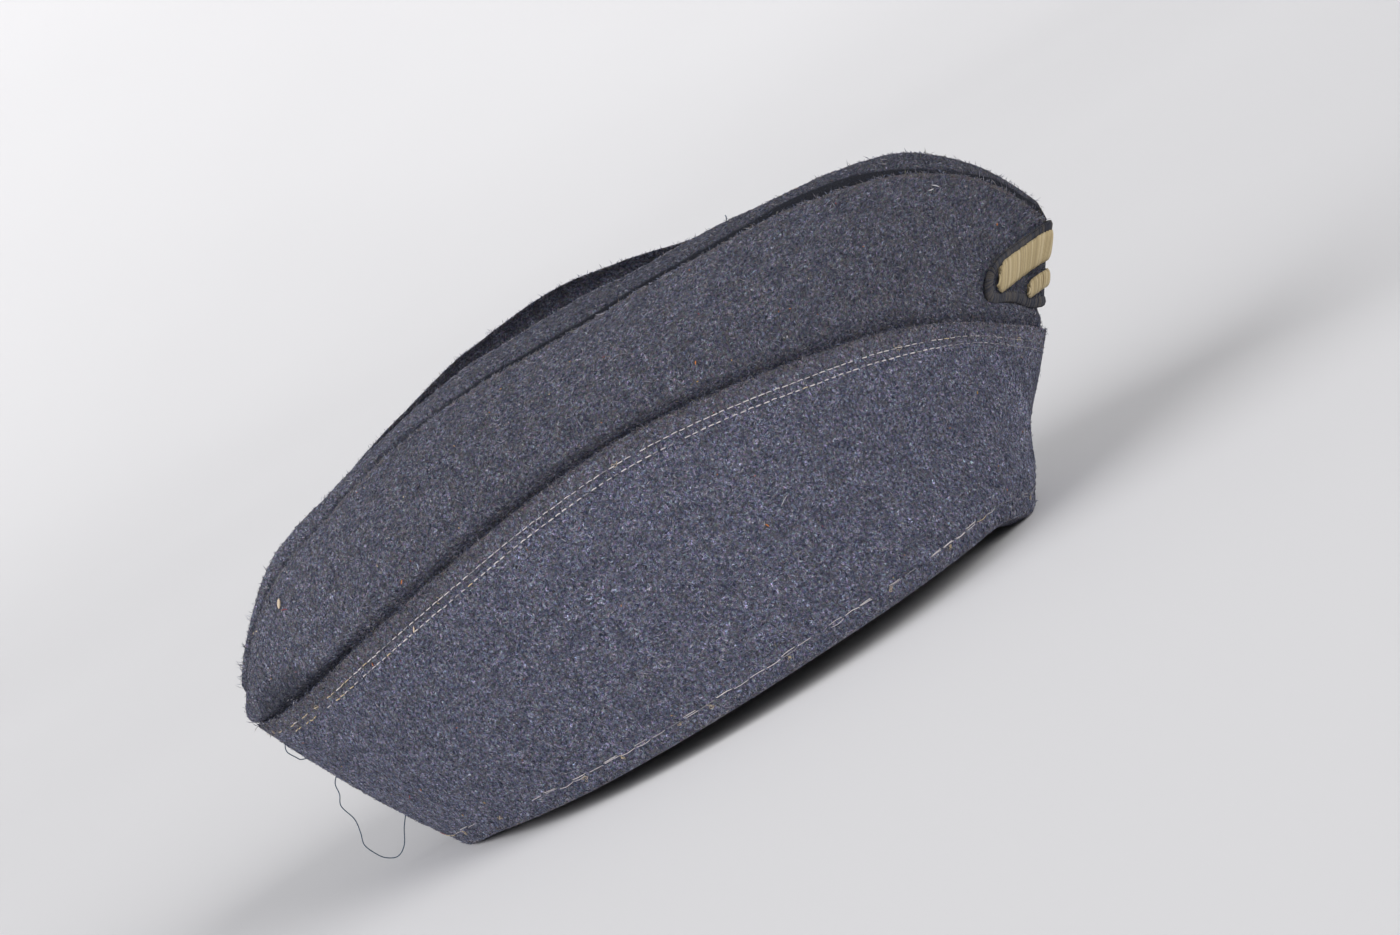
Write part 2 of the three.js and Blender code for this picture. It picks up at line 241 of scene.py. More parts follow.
def fold(side, angle, share, inset):
    """Points of the folded top, from the ridge (share 0) to the centre seam (share 1)."""
    table = FOLDS[side]
    rows = {"row": np.linspace(0, 1, len(table["across"])), **table}
    across = curve(rows, "across", share)
    drop = curve(rows, "drop", share)
    ridge = wall(side, angle, 2, inset)
    seam_side = curve(TOP, "seamSide", angle) + side * PIECE_GAP / 2
    seam_height = curve(TOP, "seam", angle) - inset * ROOF_THICKNESS / CROWN_THICKNESS
    depth = curve(TOP, "dipRight" if side == RIGHT else "dipLeft", angle)
    x = np.full_like(across, ridge[..., 0])
    y = mix(ridge[..., 1], seam_side, across)
    z = mix(ridge[..., 2], seam_height, across) - depth * drop
    return np.stack([x, y, z], axis=-1)


def uneven(points):
    """The points moved by the cloth's waves, which leave the rim and the seams where they are."""
    moved = points.copy()
    wave_fade_and_painted_light = smooth(3, 16, points[..., 2])
    for length, reach, way, phase in WAVES:
        way = unit(np.array(way))
        turn = points @ way * (2 * np.pi / length) + phase
        other = points @ np.roll(way, 1) * (2 * np.pi / length / 1.3) + 2 * phase
        wave = reach * np.sin(turn) * np.cos(other) * wave_fade_and_painted_light
        moved[..., 1] += wave * np.clip(np.abs(points[..., 1]) / 12, 0, 1)
        moved[..., 2] += 0.5 * wave * smooth(95, 110, points[..., 2])
    return moved


# ---- Meshes ----

# The frame is centred on the cap's box, so the CAD model stands a little along X from these tables.
shift_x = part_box("crown_right")[0].x / MM - min(LEVELS["rear"])
LINE_STEP = 0.25                  # between the points of a section while its corners are rounded
FINE = np.linspace(0, 1, 120)     # shares along one part of a section


def put_uvs(mesh, name, uvs):
    layer = mesh.uv_layers.new(name=name)
    layer.data.foreach_set("uv", uvs.astype(np.float32).ravel())


def make_mesh(name, points, faces, values):
    """A mesh from points in millimetres and faces of one size, with values or colours for its points."""
    mesh = bpy.data.meshes.new(name)
    mesh.vertices.add(len(points))
    mesh.vertices.foreach_set("co", ((points + (shift_x, 0, 0)) * MM).astype(np.float32).ravel())
    mesh.loops.add(faces.size)
    mesh.loops.foreach_set("vertex_index", faces.astype(np.int32).ravel())
    mesh.polygons.add(len(faces))
    mesh.polygons.foreach_set("loop_start", np.arange(0, faces.size, faces.shape[1], dtype=np.int32))
    mesh.polygons.foreach_set("use_smooth", np.ones(len(faces), bool))
    mesh.update(calc_edges=True)
    for label, numbers in values.items():
        kind, field = ("FLOAT_COLOR", "color") if numbers.ndim == 2 else ("FLOAT", "value")
        attribute = mesh.attributes.new(label, kind, "POINT")
        attribute.data.foreach_set(field, numbers.astype(np.float32).ravel())
    mesh.validate()
    piece = bpy.data.objects.new(name, mesh)
    bpy.context.scene.collection.objects.link(piece)
    return piece


def rounded_loop(parts, counts, reach):
    """Joins parts of a section into a loop, rounds its corners, and takes counts points from the parts."""
    line = np.concatenate([part[:-1] for part in parts] + [parts[0][:1]])
    travelled = distances(line)
    marks = travelled[np.cumsum([0] + [len(part) - 1 for part in parts])]
    even = np.linspace(0, travelled[-1], round(travelled[-1] / LINE_STEP) + 1)
    soft = blurred(sample(even[:-1], travelled, line), even[1], reach, closed=True)
    picks = [mix(start, end, np.arange(n) / n) for start, end, n in zip(marks, marks[1:], counts)]
    return sample(np.concatenate(picks), even, np.concatenate([soft, soft[:1]]))


def column_angles(count):
    """Sections from the back to the front, closer together at the ends, where the cap is pointed."""
    at = np.linspace(-1, 1, count)
    return 90 * (1.3 * at - 0.3 * at**3)


def part_rows(counts):
    """The row at which each part of a section begins."""
    return dict(zip(counts, np.cumsum([0, *counts.values()])))


def section_loops(section, side, columns, counts, rounding):
    """A closed loop of points for each section of a piece."""
    angles = column_angles(columns)
    return uneven(np.array([rounded_loop(section(side, a), counts.values(), rounding) for a in angles]))


def shell(name, side, loops, values, uv_shift):
    """A closed shell from one closed loop of points per section. values has an entry for each point."""
    columns, rows = loops.shape[:2]
    wrapped = np.concatenate([loops, loops[:, :1]], axis=1)
    across = distances(wrapped)
    across = across - across[columns // 2]
    uv = np.stack([across, distances(wrapped, axis=1)], axis=-1) * MM + np.array(uv_shift)
    c, r = (index.ravel() for index in np.meshgrid(np.arange(columns - 1), np.arange(rows), indexing="ij"))
    after = (r + 1) % rows
    corners = [(c, r, r), (c + 1, r, r), (c + 1, after, r + 1), (c, after, r + 1)]
    if side == LEFT:
        corners = corners[::-1]
    faces = np.stack([column * rows + row for column, row, _ in corners], axis=1)
    uvs = np.stack([uv[column, row] for column, _, row in corners], axis=1)
    values = {key: np.broadcast_to(value, (columns, rows)).ravel() for key, value in values.items()}
    piece = make_mesh(name, loops.reshape(-1, 3), faces, values)
    put_uvs(piece.data, "cloth", uvs)
    close_ends(piece, columns, rows)
    return piece


def close_ends(piece, columns, rows):
    """Closes the first and last loops of a shell with a flat face each."""
    work = bmesh.new()
    work.from_mesh(piece.data)
    work.verts.ensure_lookup_table()
    layer = work.loops.layers.uv["cloth"]
    for first in (0, (columns - 1) * rows):
        face = work.faces.new([work.verts[first + row] for row in range(rows)])
        for loop in face.loops:
            loop[layer].uv = (loop.vert.co.x, loop.vert.co.z)
    bmesh.ops.recalc_face_normals(work, faces=work.faces)
    work.to_mesh(piece.data)
    work.free()


# ---- Crown panels ----

CROWN_COLUMNS = 230
CROWN_ROUNDING = 0.7
# How many rows of points each part of a section has, from the covered wall up, over and down inside.
CROWN_COUNTS = {
    "covered": 8, "crease": 26, "bulge": 34, "fold": 62, "seam": 4, "under": 26, "inner": 26, "foot": 2,
}
CREASE_LEVEL = 0.92
BULGE_LEVEL = 1.35
# The crown swells over the curtain's edge, and fills the crease except where it opens towards the back.
BULGE = {"depth": 1.3, "level": 1.10, "reach": 0.085, "at_front": 1.3, "at_rear": 0.7, "at_tips": 1.2}
FILLING = {"depth": 0.9, "level": 1.02, "reach": 0.05}
SIGHT_SLOPE = 0.14                # how steeply light reaches into the slit behind the right ridge
SOFT_NORMALS = 2.5                # how far the cloth's thickness evens out its folds inside


def respaced(line):
    """The line's points again, one step apart."""
    travelled = distances(line)
    steps = max(round(travelled[-1] / LINE_STEP), 8)
    return sample(np.linspace(0, travelled[-1], steps + 1), travelled, line)


def inner_face(side, outer, plain):
    """A section's inner face: the cloth's thickness inside the outer face, or the plain one at the ends."""
    inside = respaced(outer)
    soft = blurred(inside, LINE_STEP, SOFT_NORMALS, closed=False, tails=4)
    way = unit(np.gradient(soft[:, 1:], axis=0))
    inside[:, 1:] += side * way[:, ::-1] * (-CROWN_THICKNESS, CROWN_THICKNESS)
    plain = respaced(plain)
    plain = sample(np.linspace(0, 1, len(inside)), np.linspace(0, 1, len(plain)), plain)
    inside[:, 0] = plain[:, 0]
    return mix(plain, inside, smooth(8, 22, np.abs(outer[:, 1]).max()))


def crown_face(side, angle, level):
    """Points of a crown panel's outer face."""
    full = BULGE["depth"] + BULGE["at_front"] * smooth(54, 74, angle)
    full = full + BULGE["at_rear"] * smooth(77, 86, -angle) - BULGE["at_tips"] * smooth(84, 90, np.abs(angle))
    filled = FILLING["depth"] * (1 - smooth(42, 52, -angle) * (1 - smooth(70, 80, -angle)))
    swell = full * near(level, BULGE["level"], BULGE["reach"])
    return wall(side, angle, level, -swell - filled * near(level, FILLING["level"], FILLING["reach"]))


def crown_section(side, angle):
    """The parts of a crown panel's section, as CROWN_COUNTS has them."""
    bottom = level_at(side, angle, rim_height(angle) + FOOT_THICKNESS + PIECE_GAP)
    levels = (bottom, CREASE_LEVEL, BULGE_LEVEL, 2.0)
    faces = [crown_face(side, angle, mix(low, high, FINE)) for low, high in zip(levels, levels[1:])]
    top = fold(side, angle, FINE, 0)
    outer = np.concatenate([*(face[:-1] for face in faces), top])
    plain_wall = wall(side, angle, mix(bottom, 2.0, FINE), CROWN_THICKNESS)
    plain = np.concatenate([plain_wall[:-1], fold(side, angle, FINE, CROWN_THICKNESS)])
    inner = inner_face(side, outer, plain)[::-1]
    ridge = np.clip(np.argmin(np.linalg.norm(inner - top[0], axis=1)), 4, len(inner) - 4)
    seam = np.linspace(top[-1], inner[0], 10)
    foot = np.linspace(inner[-1], faces[0][0], 8)
    return [*faces, top, seam, inner[:ridge + 1], inner[ridge:], foot]


def crown_shades(side, loops, marks):
    """Where a crown panel is worn and where it has painted shade and painted light, by section and row, and
    how bare of loose fibres it is.
    """
    row = np.arange(loops.shape[1])
    angle = column_angles(len(loops))[:, None]
    top = marks["fold"]
    right = side == RIGHT

    # The slit behind the right ridge gets painted shade as far up as light doesn't reach into it.
    rise = loops[..., 2] - loops[:, top, 2][:, None]
    away = np.abs(loops[..., 1] - loops[:, top, 1][:, None])
    bottom = top + np.argmin(loops[:, top:top + 34, 2], axis=1)[:, None]
    deep = 0.95 + 1.7 * near(angle, 44, 10) + 1.1 * smooth(72, 80, angle)
    slit = 1 - smooth(deep, 1.6 * deep + 0.6, rise + SIGHT_SLOPE * away)
    slit = slit * right * (row > bottom) * (row < top + 44) * mix(1.2, 0.6, smooth(5, 40, -angle))
    slit = slit * (1 - 0.5 * smooth(58, 66, angle) * (1 - smooth(70, 76, angle)))

    # Painted shade in the crease over the curtain's edge fades to the front, and opens into a dark wedge of
    # painted shade at the back.
    painted_shading = (1 - 0.95 * smooth(48, 66, angle)) * (1 - 0.7 * smooth(78, 86, -angle))
    painted_shading = painted_shading * (1 - 0.5 * smooth(-56, -44, angle) * (1 - smooth(-12, 4, angle)))
    reach = 2.4 + 6.5 * smooth(42, 66, -angle) - 0.6 * smooth(0, 20, angle)
    wide = mix(1.5, 13.0, smooth(50, 75, -angle)) - 7.5 * smooth(76, 86, -angle)
    wedge = smooth(42, 58, -angle) * (1 - 0.5 * smooth(83, 89, -angle))
    wedge = wedge * near(row, marks["crease"] + 9 + 0.5 * wide, wide)
    crease = np.maximum(0.72 * painted_shading * near(row, marks["crease"] + 5, reach) + slit, 0.85 * wedge)

    # The seam's roll over the right ridge gets painted shade that grows towards the front.
    roll = smooth(14, 26, row - top) * (row < marks["under"]) * smooth(-25, 15, angle) * right
    shades = {
        "crease": crease + 0.42 * roll,
        "ridge": near(row, top - 0.5, 1.3),
        "seam": near(row, marks["seam"] - 1, 2) + near(row, marks["seam"] - 12, 9) * smooth(70, 86, angle),
        "inside": (row > marks["under"]) & (row < len(row) - 1),
        # Painted light: the panel lighter towards the back and darker towards the front.
        "wave_fade_and_painted_light": mix(1.30, 0.95, smooth(-62, -12, angle)) * mix(1.0, 0.92, smooth(10, 65, angle)),
    }
    return shades, np.clip(slit + 0.75 * wedge, 0, 0.98)


# ---- Curtain halves ----

CURTAIN_COLUMNS = 250
CURTAIN_ROUNDING = 0.62
# Rows of points from the rim up outside, down behind, and round the hem that is turned in.
CURTAIN_COUNTS = {
    "low": 14, "middle": 38, "high": 18, "lip": 5, "back": 12, "under": 4,
    "hem_back": 6, "hem_top": 4, "hem": 10, "rim": 6,
}
HEM_LEVEL = 0.18
ROUNDED_LOW = 9                   # how far up from the rim, and down from the edge, rows stand closer
ROUNDED_HIGH = 11


def standoff(level):
    return mix(PIECE_GAP, CURTAIN_STANDOFF, np.clip(level, 0, 1) ** 2)


def pressed_line(angle, level):
    """Degrees beyond the pressed line that slants down to the front seam, and how strongly it shows."""
    line = mix(86, 67, (level - 0.42) / 0.43)
    return angle - line, smooth(0.30, 0.46, level) * (1 - smooth(0.80, 0.93, level))


def curtain_face(side, angle, level):
    """Points of the curtain's outer face."""
    beyond, shows = pressed_line(angle, level)
    raised = 0.5 * shows * near(beyond, 0, 2.0)
    return wall(side, angle, level, -standoff(level) - CURTAIN_THICKNESS - raised)


def hem_face(side, angle, level):
    """Points of the hem's face inside the cap."""
    return wall(side, angle, level, HEM_INSET + HEM_THICKNESS)


def curtain_section(side, angle):
    """The parts of a curtain half's section, as CURTAIN_COUNTS has them."""
    tall = edge_height(angle) - rim_height(angle)
    foot = FOOT_THICKNESS / tall
    levels = (0, ROUNDED_LOW / tall, 1 - ROUNDED_HIGH / tall, 1)
    faces = [curtain_face(side, angle, mix(low, high, FINE)) for low, high in zip(levels, levels[1:])]
    down = mix(1, foot, FINE)
    back = wall(side, angle, down, -standoff(down))
    lip = np.linspace(faces[-1][-1], back[0], 12)
    hem_back = wall(side, angle, mix(foot, HEM_LEVEL, FINE), HEM_INSET)
    under = np.linspace(back[-1], hem_back[0], 10)
    hem = hem_face(side, angle, mix(HEM_LEVEL, 0, FINE))
    hem_top = np.linspace(hem_back[-1], hem[0], 8)
    rim = np.linspace(hem[-1], faces[0][0], 10)
    return [*faces, lip, back, under, hem_back, hem_top, hem, rim]


def curtain_shades(side, loops, marks):
    """Where a curtain half is worn and where it has painted light and shade, by section and row, and how bare
    of loose fibres it is.
    """
    row = np.arange(loops.shape[1])
    angle = column_angles(len(loops))[:, None]
    rim, edge = rim_height(angle), edge_height(angle)
    beyond, shows = pressed_line(angle, (loops[..., 2] - rim) / (edge - rim))
    shows = shows * (row < marks["lip"])
    turned = shows * smooth(1, 4, beyond)
    band = smooth(marks["high"] + 5, marks["high"] + 11, row) * (row < marks["back"])
    worn_rim = near(row, 0, 1.6) + near(row, len(row), 1.6)
    # Painted light: a little lighter towards the back, and the front facet lighter as if lit from the right.
    wave_fade_and_painted_light = 1 + 0.05 * smooth(30, 70, -angle) + 0.32 * smooth(68, 80, angle)
    shades = {
        "ridge": np.clip(near(row, marks["lip"] + 1, 2.6) + 0.6 * worn_rim, 0, 1),
        "band": band * (0.70 + 0.30 * smooth(15, 60, -angle)),
        # Along the pressed line, a painted highlight on its ridge and painted shade on the face turned beyond
        # it.
        "wave_fade_and_painted_light": wave_fade_and_painted_light + 0.30 * shows * near(beyond, 0, 2.2) - 0.44 * turned,
        "inside": (row > marks["back"] + 1) & (row < marks["rim"] + 2),
    }
    return shades, 0.8 * turned


# ---- Strands ----

CELLS = 8                         # along each side of the bake's map of strands
THREAD_SIDES = 6
FLOOR_GAP = 0.02                  # between the lowest fibres and the floor
# Colours of the loose fibres, and how many of a hundred have each.
WOOL_COLOURS = (
    (20, (0.022, 0.027, 0.052)),
    (20, (0.054, 0.066, 0.120)),
    (12, (0.103, 0.126, 0.215)),
    (12, (0.152, 0.144, 0.178)),
    (8, (0.212, 0.240, 0.335)),
    (6, (0.258, 0.236, 0.280)),
    (7, (0.370, 0.368, 0.440)),
    (3, (0.520, 0.500, 0.520)),
    (7, (0.188, 0.150, 0.130)),
    (5, (0.165, 0.170, 0.118)),
)
FIBRE_SPREAD = 0.32               # how far fibres of one colour differ in brightness
DARK_CELLS = 16                   # how many of the palette's colours count as dark and as light
LIGHT_CELLS = 14
FUZZ_LENGTH = (0.7, 3.6)
FUZZ_RADIUS = (0.055, 0.125)
SUNK = 0.06                       # how deep a loose fibre's root is
STANDING = {"tilt": (0.35, 1.2), "lift": (-0.2, 0.2), "length": 0.45}  # radians, mm and a share
LYING = {"tilt": (-0.02, 0.10), "lift": (0.08, 0.22), "length": 1.0}


def make_strands(name, points, faces, palette, pick):
    """One mesh of many strands with the same faces, each of the colour that it picks from the palette."""
    count, size = points.shape[:2]
    every = (np.arange(count)[:, None, None] * size + faces).reshape(-1, faces.shape[1])
    tint = np.repeat(np.concatenate([palette[pick], np.ones((count, 1))], axis=1), size, axis=0)
    piece = make_mesh(name, points.reshape(-1, 3), every, {"tint": tint})
    # In the bake's map, strands of one colour share a cell.
    cell = np.stack([pick % CELLS, pick // CELLS % CELLS], axis=1) / CELLS
    spots = np.array([(0.02, 0.02), (0.10, 0.02), (0.10, 0.10), (0.02, 0.10)])[:faces.shape[1]]
    put_uvs(piece.data, "OFBake", np.repeat(cell, faces.size, axis=0) + np.tile(spots, (len(every), 1)))
    return piece


def make_fibres(name, starts, ends, lifts, normals, radii, palette, pick):
    """Short bent fibres, each thickest in its middle, where it is lifted off its straight line."""
    axis = unit(ends - starts)
    across = unit(np.cross(axis, normals))
    above = np.cross(across, axis)
    middle = (starts + ends) / 2 + normals * lifts[:, None]
    turns = np.radians((90, 210, 330))
    ring = [middle + radii[:, None] * (np.cos(turn) * across + np.sin(turn) * above) for turn in turns]
    points = np.stack([starts, *ring, ends], axis=1)
    points[..., 2] = np.maximum(points[..., 2], FLOOR_GAP)
    faces = [(0, 1 + k, 1 + (k + 1) % 3) for k in range(3)] + [(4, 1 + (k + 1) % 3, 1 + k) for k in range(3)]
    return make_strands(name, points, np.array(faces), palette, pick)


def make_threads(name, paths, normals, radii, palette, pick):
    """Round threads along paths of equal numbers of points, closed at both ends."""
    count, steps = paths.shape[:2]
    sides = THREAD_SIDES
    axis = unit(np.gradient(paths, axis=1))
    across = unit(np.cross(axis, normals))
    above = np.cross(across, axis)
    turn = 2 * np.pi * np.arange(sides)[:, None] / sides
    ring = np.cos(turn) * across[:, :, None] + np.sin(turn) * above[:, :, None]
    points = paths[:, :, None] + radii[:, :, None, None] * ring
    faces = []
    for step in range(steps - 1):
        for k in range(sides):
            a, b = step * sides + k, step * sides + (k + 1) % sides
            faces.append((a, a + sides, b + sides, b))
    last = (steps - 1) * sides
    for k in range(1, sides - 2, 2):
        faces += [(0, k, k + 1, k + 2), (last, last + k + 2, last + k + 1, last + k)]
    return make_strands(name, points.reshape(count, -1, 3), np.array(faces), palette, pick)


def wool_palette(rng):
    colours = np.repeat([c for _, c in WOOL_COLOURS], [n for n, _ in WOOL_COLOURS], axis=0)
    chosen = colours[rng.permutation(len(colours))[:CELLS**2]]
    return np.clip(chosen * (1 + FIBRE_SPREAD * rng.uniform(-1, 1, (CELLS**2, 1))), 0.01, 0.8)


def scatter(loops, side, rows, weights, count, rng):
    """Random places on some rows of a shell: points, a way along the cloth, and outwards."""
    grid = loops[:, rows[0]:rows[1] + 1]
    along = grid[1:, :-1] - grid[:-1, :-1]
    up = grid[:-1, 1:] - grid[:-1, :-1]
    out = np.cross(along, up) * -side
    area = np.linalg.norm(out, axis=2) * weights[:-1, rows[0]:rows[1]]
    cells = rng.choice(area.size, count, p=(area / area.sum()).ravel())
    c, r = np.unravel_index(cells, area.shape)
    s, t = rng.random((2, count, 1))
    low = mix(grid[c, r], grid[c + 1, r], s)
    high = mix(grid[c, r + 1], grid[c + 1, r + 1], s)
    return mix(low, high, t), unit(along[c, r]), unit(out[c, r])


def make_fuzz(name, loops, side, rows, weights, count, seed, standing=0.05, dark=0.0, light=0.0):
    """Fibres on some rows of a shell. Shares of them stand off it, and are of the dark or light colours."""
    rng = np.random.default_rng(seed)
    place, along, out = scatter(loops, side, rows, weights, count, rng)
    turn = rng.uniform(0, np.pi, (count, 1))
    lying = np.cos(turn) * along + np.sin(turn) * np.cross(out, along)
    stands = rng.random(count) < standing
    tilt = np.where(stands, *(rng.uniform(*kind["tilt"], count) for kind in (STANDING, LYING)))[:, None]
    way = unit(lying * np.cos(tilt) + out * np.sin(tilt))
    length = np.clip(rng.lognormal(0.45, 0.35, count), *FUZZ_LENGTH)
    length = length * np.where(stands, STANDING["length"], LYING["length"])
    starts = place - out * SUNK
    ends = starts + way * length[:, None]
    lifts = np.where(stands, *(rng.uniform(*kind["lift"], count) for kind in (STANDING, LYING)))
    radii = rng.uniform(*FUZZ_RADIUS, count)
    palette = wool_palette(rng)
    order = np.argsort(palette.sum(axis=1))
    pick = rng.integers(0, len(palette), count)
    for share, shades in ((dark, order[:DARK_CELLS]), (light, order[-LIGHT_CELLS:])):
        pick = np.where(rng.random(count) < share, shades[rng.integers(0, len(shades), count)], pick)
    return make_fibres(name, starts, ends, lifts, out, radii, palette, pick)


# ---- Stitches ----

THREAD_COLOURS = np.array([
    (0.66, 0.61, 0.62), (0.56, 0.52, 0.54), (0.72, 0.67, 0.66),
    (0.58, 0.49, 0.37), (0.60, 0.48, 0.31),
    (0.36, 0.345, 0.365), (0.27, 0.26, 0.285),
])
CLEAN, YELLOWED, DULLED = (0, 3), (3, 5), (5, 7)  # which of the thread's colours each kind picks from
EDGE_STITCHES = {"pitch": 2.6, "length": 1.9, "radius": 0.20, "lift": 0.33}
EDGE_ROWS = ((5.6, 1.2), (8.1, 1.0))  # how far below the free edge each is, and how drawn out
RIM_STITCHES = {"pitch": 5.6, "length": 5.9, "radius": 0.115, "askew": 0.16}
RIM_ROW = 5.6                     # how far above the rim it is
RIM_STRANDS = ((0.0, 0.40, 0.07), (0.45, 0.34, 0.45))  # shift up, lift off the cloth, share missing
HEM_STITCHES = {"pitch": 3.0, "length": 2.2, "radius": 0.17, "lift": 0.18}
EDGE_TUFTS = {"gap": 31.0, "strands": 3, "reach": 0.7}
RIM_TUFTS = {"gap": 12.0, "strands": 6, "reach": 0.5}
TUFTS_DOWN = 0.8
TUFT_RADIUS = 0.075
TUFT_POINTS = 5
ROW_END = 1.5                     # left free at both ends of a row of stitches
STITCH_PLACES = np.array((0, 0.2, 0.5, 0.8, 1.0))
STITCH_ARCH = np.array((-1.0, 0.55, 1.0, 0.55, -1.0))
STITCH_TAPER = np.array((0.75, 1.0, 1.0, 1.0, 0.75))


def face_row(side, face, height_at):
    """A line along a face at a height: its points, its outward directions and its sections' angles."""
    angles = np.linspace(-89.2, 89.2, 1400)
    rim, edge = rim_height(angles), edge_height(angles)
    level = (height_at(rim, edge) - rim) / (edge - rim)
    line = uneven(face(side, angles, level))
    above = uneven(face(side, angles, level + 0.02))
    out = unit(np.cross(np.gradient(line, axis=0), above - line) * -side)
    return line, out, angles


def stitch_row(row, rng, pitch, length, radius, lift, missing=0.02, askew=0.05):
    """Stitches along a row: (paths, outward directions, radii, colours) for make_threads."""
    line, out, angles = row
    travelled = distances(line)
    starts = np.arange(ROW_END, travelled[-1] - length - ROW_END, pitch)
    starts = starts + rng.uniform(-0.12, 0.12, len(starts))
    angle = np.interp(starts, travelled, angles)
    worn = smooth(38, 62, -angle)
    faint = smooth(45, 66, angle)
    keep = rng.random(len(starts)) > 0.38 * worn + missing
    starts, worn, faint = (x[keep, None] for x in (starts, worn, faint))
    count = len(starts)
    one_each = (count, 1)
    long = length * (1 + rng.uniform(-0.12, 0.12, one_each) * (1 + 2 * worn))
    at = starts + long * STITCH_PLACES
    spot, away = sample(at, travelled, line), unit(sample(at, travelled, out))
    rise = lift * STITCH_ARCH * (1 - 0.45 * faint) * (1 + rng.uniform(-0.2, 0.6, one_each) * worn)
    slant = rng.normal(0, askew, one_each) + worn * rng.normal(0, 0.28, one_each)
    sag = rng.normal(0, askew * 1.5, one_each) * np.sin(np.pi * STITCH_PLACES)
    up = np.cross(away, unit(spot[:, -1:] - spot[:, :1]))
    spot = spot + away * rise[..., None] + up * (slant * (STITCH_PLACES - 0.5) + sag)[..., None]
    thick = radius * (1 - 0.35 * faint) * (1 + rng.uniform(-0.12, 0.12, one_each))
    warm = rng.random(count) < 0.04 + 0.7 * worn[:, 0]
    pick = np.where(warm, rng.integers(*YELLOWED, count), rng.integers(*CLEAN, count))
    dull = rng.random(count) < 0.10 + 0.75 * faint[:, 0]
    pick = np.where(dull, rng.integers(*DULLED, count), pick)
    return spot, away, thick * STITCH_TAPER, pick


def tufts(row, rng, gap, strands, reach):
    """Small curls of thread where a stitch has come loose, every so often along a row."""
    line, out, _ = row
    travelled = distances(line)
    places = np.arange(4, travelled[-1] - 4, gap)
    places = places + rng.uniform(-0.3, 0.3, len(places)) * gap
    places = places[rng.random(len(places)) < 0.6].repeat(strands)
    count = len(places)
    centre, away = sample(places, travelled, line), unit(sample(places, travelled, out))
    along = unit(sample(places + 1, travelled, line) - centre)
    start, bend = rng.uniform(0, 2 * np.pi, (2, count, 1))
    shares = np.linspace(0, 1, TUFT_POINTS)
    turn = start + shares * rng.uniform(1.5, 4.5, (count, 1))
    size = reach * rng.uniform(0.5, 1.3, (count, 1))
    offset = rng.normal(0, reach * 0.6, (count, 2, 1))
    sideways = size * np.cos(turn) + offset[:, 0]
    upward = 0.8 * size * np.sin(turn) + offset[:, 1]
    raised = 0.12 + 0.15 * np.sin(np.pi * shares + 0.6 * np.cos(bend))
    paths = laid_out(centre, (along, sideways), (np.cross(away, along), upward), (away, raised))
    radii = np.full((count, TUFT_POINTS), TUFT_RADIUS) * rng.uniform(0.8, 1.3, (count, 1))
    return paths, np.repeat(away[:, None], TUFT_POINTS, axis=1), radii, rng.integers(*YELLOWED, count)


def laid_out(centres, *moves):
    """Paths round some centres. Each move is a direction for every path and a distance for every point."""
    return centres[:, None] + sum(way[:, None] * far[..., None] for way, far in moves)


def drawn_up(edge):
    """The rows below the free edge are closer to it at the front, where the edge is low."""
    return mix(0.78, 1, smooth(60, 78, edge))


def make_stitches(name, side, seed):
    """All the rows of stitches on one half of the curtain, and their tufts."""
    rng = np.random.default_rng(seed)
    rows = []
    for below, drawn in EDGE_ROWS:
        row = face_row(side, curtain_face, lambda rim, edge: edge - below * drawn_up(edge))
        shape = {"length": EDGE_STITCHES["length"] * drawn, "radius": EDGE_STITCHES["radius"] / drawn}
        rows.append(stitch_row(row, rng, **{**EDGE_STITCHES, **shape}))
        if drawn > 1:
            rows.append(tufts(row, rng, **EDGE_TUFTS))
    for shift, lift, missing in RIM_STRANDS:
        row = face_row(side, curtain_face, lambda rim, edge: rim + RIM_ROW + shift)
        rows.append(stitch_row(row, rng, lift=lift, missing=missing, **RIM_STITCHES))
    row = face_row(side, curtain_face, lambda rim, edge: rim + RIM_ROW - TUFTS_DOWN)
    rows.append(tufts(row, rng, **RIM_TUFTS))
    line, out, angles = face_row(side, hem_face, lambda rim, edge: rim + RIM_ROW)
    rows.append(stitch_row((line, -out, angles), rng, **HEM_STITCHES))
    paths, normals, radii, pick = (np.concatenate(parts) for parts in zip(*rows))
    return make_threads(name, paths, normals, radii, THREAD_COLOURS, pick)


# ---- Badge ----

BADGE_GAP = 0.8
BADGE_THICKNESS = 1.2
BAR_THICKNESS = 0.7
BADGE_OUTLINE = {
    "reach": (0, 8, 16, 24, 29, 31),
    "low": (51.5, 54, 58.5, 61.5, 63, 65.5),
    "high": (73, 73, 73, 73, 71.8, 69.5),
}
BADGE_REACH = BADGE_OUTLINE["reach"][-1]
BADGE_MIDDLE = np.array((0.0, 65.0))
BARS = {
    "upper": {"low": 64.0, "high": 71.5, "reach": 26.0},
    "lower": {"low": 57.0, "high": 61.5, "reach": 10.4},
}
NOSE_SOFTNESS = 2.6
BORDER_WIDTH = 2.4                # of the badge's overlocked edge
BORDER_RADIUS = 0.30              # of its thread
BORDER_PITCH = 0.52
BORDER_SOFTNESS = 1.3
SATIN_PITCH = 0.46                # between the threads of the badge's bars
SATIN_RADIUS = 0.29
CORE_INSET = 0.7                  # of a bar's core from the bar's edges
CORE_DOME = 0.3                   # how much a core is thicker in its middle
CORE_COLOUR = (0.30, 0.235, 0.125, 1.0)
DARK_THREADS = np.array([
    (0.030, 0.032, 0.045), (0.042, 0.044, 0.058), (0.058, 0.055, 0.060), (0.080, 0.072, 0.068),
])
TAN_THREADS = np.array([(0.50, 0.40, 0.225), (0.44, 0.35, 0.19), (0.56, 0.46, 0.28), (0.38, 0.30, 0.165)])


